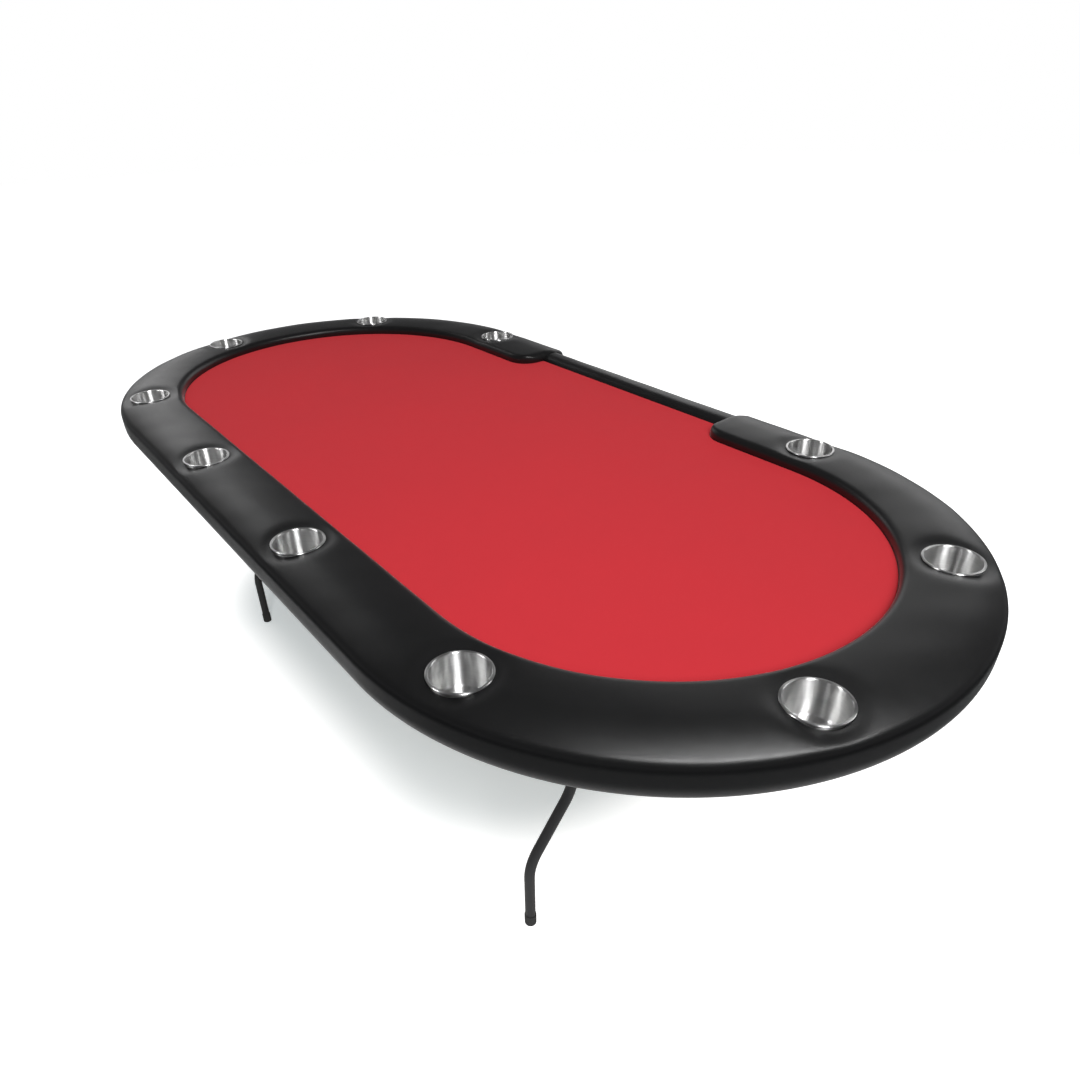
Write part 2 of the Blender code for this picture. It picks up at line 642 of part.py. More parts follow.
def build_brace(label, side, parts, cutter_collection, look):
    """Deck ear, upper and lower link, and the pins of one folding brace."""
    upper_length, lower_length = brace_lengths()
    deck_pivot = Vector((LEG_X - BRACE_REACH, HINGE_Z))
    leg_pivot = Vector((LEG_X, HINGE_Z - CROSSBAR_DROP))
    slope = math.atan2(leg_pivot.y - deck_pivot.y, leg_pivot.x - deck_pivot.x)
    knuckle = deck_pivot + Vector((math.cos(slope), math.sin(slope))) * upper_length
    eye = BRACE_HALF_WIDTH + BRACE_EYE_MARGIN
    pin_hole = BRACE_PIN_RADIUS + FIT_GAP

    def flat_piece(name, outline, y_middle, thickness, material):
        piece = standing_slab(outline, y_middle - thickness / 2, y_middle + thickness / 2, 0.0, 0.0, side)
        return add_object(name, piece, parts, material)

    def bore(item, centre, radius):
        drill = rod_bmesh(radius, (side * centre.x, -CUTTER_REACH, centre.y),
                          (side * centre.x, CUTTER_REACH, centre.y), 16)
        cut(item, make_cutter(add_object("drill_" + item.name, drill, cutter_collection)))

    upper = placed_outline(link_outline(upper_length, eye, eye, BRACE_HALF_WIDTH), deck_pivot, slope)
    upper_item = flat_piece(f"brace_upper_link_{label}", upper, UPPER_LINK_Y, BRACE_BAR, look["zinc"])
    bore(upper_item, deck_pivot, pin_hole)
    lower = placed_outline(link_outline(lower_length, BRACE_EYE_RADIUS, eye, BRACE_HALF_WIDTH),
                           leg_pivot, slope + math.pi)
    lower_item = flat_piece(f"brace_lower_link_{label}", lower, LOWER_LINK_Y, BRACE_BAR, look["zinc"])
    bore(lower_item, leg_pivot, CROSSBAR_RADIUS + FIT_GAP)
    bore(lower_item, knuckle, pin_hole)

    ear_y = UPPER_LINK_Y - BRACE_BAR / 2 - FIT_GAP - EAR_THICKNESS / 2
    ear_top = DECK_BOTTOM - FIT_GAP
    ear = rounded_outline([
        (deck_pivot.x - EAR_HALF_WIDTH, ear_top, 0),
        (deck_pivot.x - EAR_HALF_WIDTH, HINGE_Z - EAR_HALF_WIDTH, EAR_TIP_ROUND),
        (deck_pivot.x + EAR_HALF_WIDTH, HINGE_Z - EAR_HALF_WIDTH, EAR_TIP_ROUND),
        (deck_pivot.x + EAR_HALF_WIDTH, ear_top, 0)])
    ear_item = flat_piece(f"brace_bracket_{label}", ear, ear_y, EAR_THICKNESS, look["zinc"])
    bore(ear_item, deck_pivot, pin_hole)
    foot_x = side * deck_pivot.x
    foot_y = ear_y - EAR_FOOT_DEPTH / 2
    foot_low = ear_top - EAR_THICKNESS
    foot = rounded_outline([(foot_x - EAR_FOOT_HALF, foot_y - EAR_FOOT_DEPTH / 2, EAR_FOOT_ROUND),
                            (foot_x + EAR_FOOT_HALF, foot_y - EAR_FOOT_DEPTH / 2, EAR_FOOT_ROUND),
                            (foot_x + EAR_FOOT_HALF, foot_y + EAR_FOOT_DEPTH / 2, 0),
                            (foot_x - EAR_FOOT_HALF, foot_y + EAR_FOOT_DEPTH / 2, 0)])
    plate = slab_bmesh(foot, foot_low, ear_top)
    plate_item = make_cutter(add_object(f"bracket_foot_{label}", plate, cutter_collection))
    cut(ear_item, plate_item, "UNION")
    for place, offset in (("inner", -1), ("outer", 1)):
        spot = (foot_x + side * offset * EAR_SCREW_SPREAD, foot_y, foot_low - FIT_GAP)
        build_screw(f"brace_screw_{place}_{label}", spot, parts, look)

    build_pin(f"brace_pivot_pin_{label}", side, deck_pivot, ear_y - EAR_THICKNESS / 2 - PIN_STAND_OFF,
              UPPER_LINK_Y + BRACE_BAR / 2, "low", parts, cutter_collection, look)
    build_pin(f"knuckle_pin_{label}", side, knuckle, UPPER_LINK_Y + BRACE_BAR / 2 + FIT_GAP,
              LOWER_LINK_Y + BRACE_BAR / 2 + PIN_STAND_OFF, "high", parts, cutter_collection, look)


def build_pin(name, side, centre, y_low, y_high, head_end, parts, cutter_collection, look):
    """Headed rivet along Y: a shank with one flat head outside the link."""
    if head_end == "low":
        head_low = y_low
        head_high = y_low + PIN_HEAD_THICKNESS
    else:
        head_low = y_high - PIN_HEAD_THICKNESS
        head_high = y_high
    x = side * centre.x
    z = centre.y
    shank = rod_bmesh(BRACE_PIN_RADIUS, (x, y_low, z), (x, y_high, z), 16)
    pin = add_object(name, shank, parts, look["zinc"])
    cap = rod_bmesh(PIN_HEAD_RADIUS, (x, head_low, z), (x, head_high, z), 16)
    cut(pin, make_cutter(add_object("head_" + name, cap, cutter_collection)), "UNION")


# ---------------------------------------------------------------- whole table
def build_table():
    clear_scene()
    parts = new_collection(PARTS_NAME)
    cutter_collection = new_collection("cutters")
    look = {
        "cloth": make_material("red_speed_cloth", (0.52, 0.035, 0.045), 0.9),
        "foam": make_material("underlay_foam", (0.75, 0.73, 0.68), 0.95),
        "board": make_material("plywood", (0.55, 0.38, 0.22), 0.7),
        "vinyl": make_material("black_vinyl", (0.012, 0.012, 0.013), 0.42),
        "cup": make_material("brushed_stainless", (0.62, 0.61, 0.59), 0.28, 1.0),
        "steel": make_material("black_powder_coat", (0.02, 0.02, 0.021), 0.5, 0.0),
        "zinc": make_material("zinc_plate", (0.55, 0.55, 0.56), 0.4, 1.0),
        "rubber": make_material("black_rubber", (0.015, 0.015, 0.015), 0.75),
    }
    cutters = {
        "cups": make_cutter(add_object("cup_bores", cup_cutters(), cutter_collection)),
        "notch": make_cutter(add_object("dealer_notch", notch_cutter(), cutter_collection)),
    }
    build_boards(parts, cutters, look)
    build_rail(parts, cutters, look)
    build_cups(parts, look)
    for label, side in (("right", 1), ("left", -1)):
        build_hinges(label, side, parts, look)
        build_leg_frame(label, side, parts, cutter_collection, look)
        build_brace(label, side, parts, cutter_collection, look)


build_table()
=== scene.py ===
"""Finish of the folding poker table: padded vinyl rail, stretched cloth, steel cups, painted legs.

Everything is in metres in the model's own frame: +X along the table, +Y towards the dealer, +Z up.
"""
import math

import bmesh
import bpy
import numpy as np
from mathutils import Matrix, Vector


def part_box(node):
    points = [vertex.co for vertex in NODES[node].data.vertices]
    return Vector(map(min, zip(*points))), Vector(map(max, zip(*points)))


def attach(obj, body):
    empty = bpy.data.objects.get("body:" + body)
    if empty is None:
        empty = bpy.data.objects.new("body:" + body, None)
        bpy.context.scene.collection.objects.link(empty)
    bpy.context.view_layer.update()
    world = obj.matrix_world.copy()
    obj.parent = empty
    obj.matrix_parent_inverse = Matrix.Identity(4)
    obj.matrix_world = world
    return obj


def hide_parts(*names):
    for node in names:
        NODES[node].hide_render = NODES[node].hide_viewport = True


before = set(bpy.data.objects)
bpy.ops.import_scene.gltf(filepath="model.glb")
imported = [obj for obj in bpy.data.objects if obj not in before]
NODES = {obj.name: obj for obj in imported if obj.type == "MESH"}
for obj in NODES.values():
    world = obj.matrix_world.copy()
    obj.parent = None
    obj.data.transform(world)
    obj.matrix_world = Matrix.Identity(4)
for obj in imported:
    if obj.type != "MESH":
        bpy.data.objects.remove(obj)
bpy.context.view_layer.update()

# ---------------------------------------------------------------- sizes read from the frame
RAIL_LOW, RAIL_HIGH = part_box("armrest_pad")
CLOTH_LOW, CLOTH_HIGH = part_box("playing_cloth")
BAR_LOW, BAR_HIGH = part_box("dealer_rail_pad")

OUTER_RADIUS = RAIL_HIGH.y
STRAIGHT_HALF = RAIL_HIGH.x - OUTER_RADIUS
RAIL_WIDTH = 0.163
FELT_RADIUS = OUTER_RADIUS - RAIL_WIDTH
RAIL_TOP = RAIL_HIGH.z
RAIL_BOTTOM = RAIL_LOW.z
CLOTH_TOP = CLOTH_HIGH.z
FIT_GAP = 0.0004
PAD_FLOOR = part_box("deck_panel")[1].z + FIT_GAP
BASE_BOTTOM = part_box("rail_base_front")[0].z
BASE_OUTER = 0.1374
PAD_HEM = 0.133
HEM_CHANNEL = np.array([[BASE_OUTER, PAD_FLOOR], [BASE_OUTER, BASE_BOTTOM - FIT_GAP],
                        [PAD_HEM, BASE_BOTTOM - FIT_GAP]])
DEALER_HALF = BAR_HIGH.x + 0.0003
DEALER_EDGE = BAR_LOW.y - FELT_RADIUS

CUP_OFFSET = 0.083
CUP_FIRST = 0.249
CUP_SPACING = 0.511
CUPS_PER_SIDE = 5
SPINE_RADIUS = FELT_RADIUS + CUP_OFFSET
MERGE_DISTANCE = 2e-6


# ---------------------------------------------------------------- mesh helpers
def mesh_piece(name, verts, faces, material, slot, body="root", stands_for=None, smooth_angle=40):
    """Make an object from whole arrays of vertices and faces, and let it ride on a body.

    Its doubled vertices are merged, its faces turned outwards, and the CAD node it stands for is replaced.
    """
    mesh = bpy.data.meshes.new(name)
    mesh.from_pydata(np.asarray(verts, float).reshape(-1, 3).tolist(), [], faces)
    mesh.validate()
    mesh.shade_smooth()
    mesh.set_sharp_from_angle(angle=math.radians(smooth_angle))
    mesh.materials.append(material)
    item = bpy.data.objects.new(name, mesh)
    bpy.context.scene.collection.objects.link(item)
    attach(item, body)
    bm = bmesh.new()
    bm.from_mesh(mesh)
    bmesh.ops.remove_doubles(bm, verts=bm.verts, dist=MERGE_DISTANCE)
    bmesh.ops.recalc_face_normals(bm, faces=bm.faces)
    bm.to_mesh(mesh)
    bm.free()
    if stands_for:
        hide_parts(stands_for)
    return item


def grid_faces(rows, columns, wrap_rows=False, wrap_columns=False):
    """Quads of a grid whose vertices are numbered row by row. A wrapped side joins last to first."""
    row = np.arange(rows if wrap_rows else rows - 1)
    column = np.arange(columns if wrap_columns else columns - 1)
    r, c = np.meshgrid(row, column, indexing="ij")
    r_next = (r + 1) % rows
    c_next = (c + 1) % columns
    quads = np.stack([r * columns + c, r * columns + c_next, r_next * columns + c_next,
                      r_next * columns + c], axis=-1)
    return quads.reshape(-1, 4).tolist()


def end_caps(rows, columns):
    """One polygon over each end of a grid with wrapped columns."""
    last = (rows - 1) * columns
    return [list(range(columns))[::-1], list(range(last, last + columns))]


def end_fans(rows, columns):
    """Triangles from each end of a grid with wrapped columns to a point, the two points numbered after it."""
    first, last, end = rows * columns, rows * columns + 1, (rows - 1) * columns
    around = [(k, (k + 1) % columns) for k in range(columns)]
    return [[first, after, k] for k, after in around] + [[last, end + k, end + after] for k, after in around]


def arc_points(centre, radii, first, last, count):
    """Points on an arc: centre plus one or two radii times (cosine, sine) of an even run of degrees."""
    angle = np.radians(np.linspace(first, last, count))
    return np.asarray(centre) + np.asarray(radii) * np.stack([np.cos(angle), np.sin(angle)], axis=1)


def unit(vectors):
    """Vectors made one long."""
    return vectors / np.linalg.norm(vectors, axis=-1, keepdims=True)


def along(points):
    """Distance along a polyline at each of its points."""
    return np.concatenate([[0.0], np.cumsum(np.linalg.norm(np.diff(points, axis=0), axis=1))])


def resampled(points, stations):
    """Points of a polyline at the given distances along it, by straight interpolation."""
    length = along(points)
    return np.stack([np.interp(stations, length, points[:, axis]) for axis in range(points.shape[1])], axis=1)


def softened(points, spacing, spread):
    """Even out a polyline and blur it along its length with a bell curve, its ends held still."""
    count = max(8, int(along(points)[-1] / spacing))
    even = resampled(points, np.linspace(0.0, along(points)[-1], count))
    reach = int(3 * spread / spacing)
    bell = np.exp(-0.5 * (np.arange(-reach, reach + 1) * spacing / spread) ** 2)
    bell /= bell.sum()
    padded = np.concatenate([2 * even[:1] - even[reach:0:-1], even, 2 * even[-1:] - even[-2:-reach - 2:-1]])
    return np.stack([np.convolve(values, bell, mode="valid") for values in padded.T], axis=1)


def smooth_step(value):
    """Cubic ease from 0 to 1, flat at both ends."""
    value = np.clip(value, 0.0, 1.0)
    return value * value * (3 - 2 * value)


def swept_tube(path, radius, sides, closed=False, reference=(1.0, 0.0, 0.0)):
    """Round tube: circles of the given radius square to the path's tangent, ends closed by a point."""
    path = np.asarray(path, float)
    if closed:
        tangent = np.roll(path, -1, axis=0) - np.roll(path, 1, axis=0)
    else:
        tangent = np.gradient(path, axis=0)
    tangent = unit(tangent)
    normal = unit(np.cross(tangent, np.asarray(reference, float)))
    side = np.cross(tangent, normal)
    radius = np.broadcast_to(np.asarray(radius, float), (len(path),))
    angle = np.linspace(0.0, math.tau, sides, endpoint=False)
    ring = np.cos(angle)[None, :, None] * normal[:, None, :] + np.sin(angle)[None, :, None] * side[:, None, :]
    verts = (path[:, None, :] + radius[:, None, None] * ring).reshape(-1, 3)
    faces = grid_faces(len(path), sides, wrap_rows=closed, wrap_columns=True)
    if closed:
        return verts, faces
    return np.concatenate([verts, path[:1], path[-1:]]), faces + end_fans(len(path), sides)


def turned_surface(profile, steps, centre=(0.0, 0.0, 0.0)):
    """Turn a profile of (radius, height) round Z. Its first and last points lie on the axis."""
    profile = np.asarray(profile, float)
    angle = np.linspace(0.0, math.tau, steps, endpoint=False)
    body = profile[1:-1]
    ring = np.stack([np.outer(body[:, 0], np.cos(angle)), np.outer(body[:, 0], np.sin(angle)),
                     np.repeat(body[:, 1:2], steps, axis=1)], axis=-1)
    poles = np.array([[0.0, 0.0, profile[0, 1]], [0.0, 0.0, profile[-1, 1]]])
    verts = np.concatenate([ring.reshape(-1, 3), poles]) + np.asarray(centre, float)
    return verts, grid_faces(len(body), steps, wrap_columns=True) + end_fans(len(body), steps)


def joined(parts):
    """Put several (vertices, faces) pairs into one."""
    verts, faces, start = [], [], 0
    for some_verts, some_faces in parts:
        verts.append(np.asarray(some_verts, float).reshape(-1, 3))
        faces += [[index + start for index in face] for face in some_faces]
        start += len(verts[-1])
    return np.concatenate(verts), faces


# ---------------------------------------------------------------- the track that the rail follows
def track(distance, offset):
    """Point in plan at a distance along the rail's middle line and an offset from the cloth's edge.

    The line starts at the middle of the front, runs straight to the end, goes round a half circle
    and comes back along the dealer's side. Negative distances mirror it to the left.
    """
    distance = np.asarray(distance, float)
    span = np.abs(distance)
    angle = np.clip((span - STRAIGHT_HALF) / SPINE_RADIUS, 0.0, math.pi)
    front = np.minimum(span, STRAIGHT_HALF)
    back = np.maximum(span - STRAIGHT_HALF - math.pi * SPINE_RADIUS, 0.0)
    radius = SPINE_RADIUS + (np.asarray(offset, float) - CUP_OFFSET)
    x = (front + radius * np.sin(angle) - back) * np.where(distance < 0, -1.0, 1.0)
    y = -radius * np.cos(angle)
    return x, y


def offset_of(x, y):
    """Offset of a plan point from the cloth's edge: its distance from the spine less the radius."""
    past_end = np.maximum(np.abs(x) - STRAIGHT_HALF, 0.0)
    return np.hypot(past_end, y) - FELT_RADIUS


CUP_STATIONS = [side * (CUP_FIRST + CUP_SPACING * index)
                for side in (1, -1) for index in range(CUPS_PER_SIDE)]
CUP_CENTRES = np.array([track(station, CUP_OFFSET) for station in CUP_STATIONS])
TRACK_END = STRAIGHT_HALF + math.pi * SPINE_RADIUS + (STRAIGHT_HALF - DEALER_HALF)


# ---------------------------------------------------------------- padded rail
SUMMIT_OFFSET = 0.078
CREST_OFFSET = 0.1535
CREST_TILT = math.radians(20)
CROWN_RADIUS = (CREST_OFFSET - SUMMIT_OFFSET) / math.sin(CREST_TILT)
NOSE_ROUND = (RAIL_WIDTH - CREST_OFFSET) / (1 - math.sin(CREST_TILT))
NOSE_HEIGHT = RAIL_TOP - CROWN_RADIUS * (1 - math.cos(CREST_TILT)) - NOSE_ROUND * math.cos(CREST_TILT)
BELLY_HEIGHT = 0.036
BELLY_CENTRE = (PAD_HEM, RAIL_BOTTOM + BELLY_HEIGHT)
LIP_ROUND = 0.014
LIP_DROP = 0.0030
SKIN_SPACING = 0.0008
SKIN_SPREAD = 0.0030
SOFT_BELOW = 0.030
SOFT_EASE = 0.014
WELL_RADIUS = 0.0487
WELL_LIP = 0.003
BLOCK_HALF = 0.066
BLOCK_CELLS = 24
BLOCK_RINGS = 9
RING_PACKING = 0.8
LONG_STEP = 0.0095
END_STEPS = np.array([0.0, 0.0005, 0.0016, 0.0034, 0.0058, 0.009, 0.013, 0.018, 0.024, 0.031, 0.039,
                      0.048, 0.058])
DIMPLE_DEPTH = 0.0044
DIMPLE_RIM = 0.0025
DIMPLE_REACH = 0.034
DIMPLE_FALL = 3.5
UNEVENNESS = 0.00016
PAD_CORNER = 0.060
PAD_CORNER_FADE = 0.135
NOSE_CORNER = 0.018
NOSE_CORNER_FROM = 0.118
NOSE_CORNER_EASE = 0.030
END_ROUND = 0.022
PAD_DEPTH = 0.036


def rail_skin():
    """Outer skin of the rail's section, from the hem under it round the nose, over the top to the cloth.

    A quarter ellipse makes the belly, an arc the nose, a wide arc the crown from the crest to its
    summit, a shallow parabola the fall from there to the cloth and a quarter circle the lip.
    """
    belly = arc_points(BELLY_CENTRE, (RAIL_WIDTH - PAD_HEM, BELLY_HEIGHT), -90, 0, 24)
    crest_angle = 90 - math.degrees(CREST_TILT)
    nose = arc_points((RAIL_WIDTH - NOSE_ROUND, NOSE_HEIGHT), NOSE_ROUND, 0, crest_angle, 20)
    arch = arc_points((SUMMIT_OFFSET, RAIL_TOP - CROWN_RADIUS), CROWN_RADIUS, crest_angle, 90, 28)[1:]
    crown_offset = np.linspace(SUMMIT_OFFSET, LIP_ROUND, 30)[1:]
    fall = (SUMMIT_OFFSET - crown_offset) / (SUMMIT_OFFSET - LIP_ROUND)
    crown = np.stack([crown_offset, RAIL_TOP - LIP_DROP * fall ** 2], axis=1)
    lip = arc_points((LIP_ROUND, RAIL_TOP - LIP_DROP - LIP_ROUND), LIP_ROUND, 90, 180, 14)[1:]
    skin = np.concatenate([belly, nose, arch, crown, lip, [[0.0, PAD_FLOOR]]])
    return softened(skin, SKIN_SPACING, SKIN_SPREAD)


def rail_section():
    """Closed section of the rail as (offset, height), and where its top and floor blocks start."""
    skin = rail_skin()
    length = along(skin)
    peak = int(np.argmax(skin[:, 1]))
    outer_edge = CUP_OFFSET + BLOCK_HALF
    inner_edge = CUP_OFFSET - BLOCK_HALF
    outer_at = length[np.argmin(np.abs(skin[:peak + 1, 0] - outer_edge)
                                + 10 * (skin[:peak + 1, 1] < NOSE_HEIGHT))]
    top = skin[skin[:, 1] > NOSE_HEIGHT + NOSE_ROUND / 2]
    order = np.argsort(top[:, 0])
    block_offsets = np.linspace(outer_edge, inner_edge, BLOCK_CELLS + 1)
    block = np.stack([block_offsets, np.interp(block_offsets, top[order, 0], top[order, 1])], axis=1)
    inner_mask = np.arange(len(skin)) > peak
    inner_at = length[np.argmin(np.abs(skin[:, 0] - inner_edge) + 10 * ~inner_mask)]
    outer_part = resampled(skin, np.linspace(0.0, outer_at, 34))[:-1]
    inner_part = resampled(skin, np.linspace(inner_at, length[-1], 12))[1:]
    floor_offsets = np.linspace(inner_edge, BASE_OUTER - 0.002, BLOCK_CELLS + 1)
    floor = np.stack([floor_offsets, np.full(BLOCK_CELLS + 1, PAD_FLOOR)], axis=1)
    section = np.concatenate([outer_part, block, inner_part, floor, HEM_CHANNEL])
    top_start = len(outer_part)
    floor_start = len(outer_part) + len(block) + len(inner_part)
    heights = (top[order, 0], top[order, 1])
    return section, top_start, floor_start, heights


def long_steps(low, high):
    """Even steps of about LONG_STEP from one distance to another, the first of them left out."""
    return np.linspace(low, high, max(2, int(round((high - low) / LONG_STEP))) + 1)[1:]


def rail_stations():
    """Distances of the rail's sections: even steps over each cup, longer ones between, short at the ends."""
    stations = [-TRACK_END + END_STEPS]
    for cup in sorted(CUP_STATIONS):
        low, high = cup - BLOCK_HALF, cup + BLOCK_HALF
        stations += [long_steps(stations[-1][-1], low), np.linspace(low, high, BLOCK_CELLS + 1)[1:]]
    stations.append(long_steps(stations[-1][-1], TRACK_END - END_STEPS[-1]))
    return np.concatenate(stations + [(TRACK_END - END_STEPS[:-1])[::-1]])


def dimple(x, y):
    """How far the vinyl is pulled down at a plan point: a bell round each cup, full up to its flange."""
    pull = np.zeros(np.shape(x))
    for centre_x, centre_y in CUP_CENTRES:
        reach = np.hypot(x - centre_x, y - centre_y)
        away = np.maximum(reach - WELL_RADIUS - DIMPLE_RIM, 0.0) / DIMPLE_REACH
        pull = np.maximum(pull, np.exp(-DIMPLE_FALL * away ** 2))
    return DIMPLE_DEPTH * pull


def hand_worked(x, y):
    """Slow unevenness of foam under stretched vinyl, a third of a millimetre: three crossed sine waves."""
    return UNEVENNESS * (np.sin(31 * x + 9 * y) + np.sin(-17 * x + 43 * y + 1.3)
                         + 0.7 * np.sin(61 * x - 37 * y + 2.1))


def corner_cut(end, radius):
    """How far a rounded plan corner of the given radius has drawn in at a distance from the rail's end."""
    inside = np.clip(radius - end, 0.0, radius)
    return radius - np.sqrt(np.maximum(radius ** 2 - inside ** 2, 0.0))


def shaped_rail_point(station, offset, height):
    """Place section points on the track, with rounded plan corners and a rounded top edge at the ends."""
    end = TRACK_END - np.abs(station)
    inner = corner_cut(end, PAD_CORNER) * np.clip(1 - offset / PAD_CORNER_FADE, 0.0, 1.0)
    outer = corner_cut(end, NOSE_CORNER) * smooth_step((offset - NOSE_CORNER_FROM) / NOSE_CORNER_EASE)
    above = height > PAD_FLOOR + 1e-5
    shrink = 1 - corner_cut(end, END_ROUND) / PAD_DEPTH
    moved = offset + np.where(height >= PAD_FLOOR - 1e-5, inner, 0.0) - outer
    raised = np.where(above, PAD_FLOOR + (height - PAD_FLOOR) * shrink, height)
    x, y = track(station, moved)
    return x, y, raised


def cup_block(block_x, block_y, heights, circle=None, flat_height=None):
    """Polar patch in a square block with a round hole: rings blend from the block's rim to the circle.

    Its rings are packed towards the hole. The height is the crown's less the dimple, or flat.
    """
    rim = np.stack([block_rim(block_x), block_rim(block_y)], axis=1)
    if circle is None:
        centre = rim.mean(axis=0)
        centre = CUP_CENTRES[np.argmin(np.hypot(*(CUP_CENTRES - centre).T))]
        circle = centre + WELL_RADIUS * unit(rim - centre)
    blend = (np.linspace(0.0, 1.0, BLOCK_RINGS + 1) ** RING_PACKING)[:, None, None]
    rings = rim[None] * (1 - blend) + circle[None] * blend
    x, y = rings[..., 0], rings[..., 1]
    if flat_height is None:
        z = np.interp(offset_of(x, y), *heights) - dimple(x, y) + hand_worked(x, y)
    else:
        z = np.full(x.shape, flat_height)
    return np.stack([x, y, z], axis=-1), circle


def block_rim(values):
    """Values round a square block's edge, one after another."""
    return np.concatenate([values[0, :-1], values[:-1, -1], values[-1, :0:-1], values[:0:-1, 0]])


def build_armrest(material):
    """The C-shaped rail: the section carried along the track, with a round well through it at each cup."""
    section, top_start, floor_start, heights = rail_section()
    stations = rail_stations()
    rows, columns = len(stations), len(section)
    offset, height = np.broadcast_to(section.T[:, None], (2, rows, columns))
    x, y, z = shaped_rail_point(stations[:, None], offset, height)
    soft = smooth_step((z - (RAIL_TOP - SOFT_BELOW)) / SOFT_EASE)
    z = z - soft * dimple(x, y) + soft * hand_worked(x, y)
    quads = np.array(grid_faces(rows, columns, wrap_columns=True)).reshape(rows - 1, columns, 4)
    keep = np.ones((rows - 1, columns), bool)
    patches = []
    for station in CUP_STATIONS:
        row = int(np.argmin(np.abs(stations - (station - BLOCK_HALF))))
        blocks = []
        for start in (top_start, floor_start):
            keep[row:row + BLOCK_CELLS, start:start + BLOCK_CELLS] = False
            block = slice(row, row + BLOCK_CELLS + 1), slice(start, start + BLOCK_CELLS + 1)
            blocks.append((x[block], y[block], z[block]))
        (top_x, top_y, top_z), (floor_x, floor_y, _) = blocks
        top, circle = cup_block(top_x, top_y, heights)
        top[0, :, 2] = block_rim(top_z)
        floor, _ = cup_block(floor_x[:, ::-1], floor_y[:, ::-1], heights, circle, PAD_FLOOR)
        patches += [top, floor, np.stack([top[-1], top[-1] - [0.0, 0.0, WELL_LIP], floor[-1]])]
    parts = [(np.stack([x, y, z], axis=-1), quads[keep].tolist() + end_caps(rows, columns))]
    parts += [(patch, grid_faces(*patch.shape[:2], wrap_columns=True)) for patch in patches]
    piece = mesh_piece("padded_armrest", *joined(parts), material, "black_vinyl", stands_for="armrest_pad")
    return piece


DEALER_SET_BACK = 0.0110
DEALER_DROP = 0.0030
DEALER_TUCK = 0.012
DEALER_HEM_LIFT = 0.001
DEALER_NOSE = (0.036, 0.030)
DEALER_INNER = (0.026, 0.018)
DEALER_SOFT_FROM = 0.762
DEALER_SOFT_EASE = 0.010


def build_dealer_rail(material):
    """Narrow padded bar across the dealer's place, tucked a little way into the rail's rounded ends.

    A quarter ellipse each for the belly, the nose and the inner edge, blurred along the section.
    """
    low, high = DEALER_EDGE, RAIL_WIDTH - DEALER_SET_BACK
    top = BAR_HIGH.z - DEALER_DROP
    belly = arc_points(BELLY_CENTRE, (high - PAD_HEM, BELLY_HEIGHT - DEALER_HEM_LIFT), -90, 0, 16)
    nose = arc_points((high - DEALER_NOSE[0], top - DEALER_NOSE[1]), DEALER_NOSE, 0, 90, 18)
    inner = arc_points((low + DEALER_INNER[0], top - DEALER_INNER[1]), DEALER_INNER, 90, 180, 14)
    skin = softened(np.concatenate([belly, nose, inner, [[low, PAD_FLOOR]]]), 0.001, 0.0035)
    skin = resampled(skin, np.linspace(0.0, along(skin)[-1], 56))
    section = np.concatenate([skin, HEM_CHANNEL])
    reach = DEALER_HALF + DEALER_TUCK
    x, offset, z = np.broadcast_arrays(np.linspace(reach, -reach, 90)[:, None], *section.T)
    y = FELT_RADIUS + offset
    z = z + smooth_step((z - DEALER_SOFT_FROM) / DEALER_SOFT_EASE) * hand_worked(x, y)
    faces = grid_faces(*z.shape, wrap_columns=True) + end_caps(*z.shape)
    piece = mesh_piece("padded_dealer_rail", np.stack([x, y, z], -1), faces, material, "black_vinyl",
                       stands_for="dealer_rail_pad")
    return piece


# ---------------------------------------------------------------- playing cloth
CLOTH_GAP = 0.0006
CLOTH_ROLL = 0.0030
CLOTH_ROLL_DROP = 0.0010
CLOTH_CHAMFER = 0.004
CLOTH_UNDERSIDE = CLOTH_LOW.z + 0.0001


def row_points(x, y):
    """Points in plan at the given places along X, all with one Y."""
    return np.stack([x, np.full(len(x), y)], axis=1)


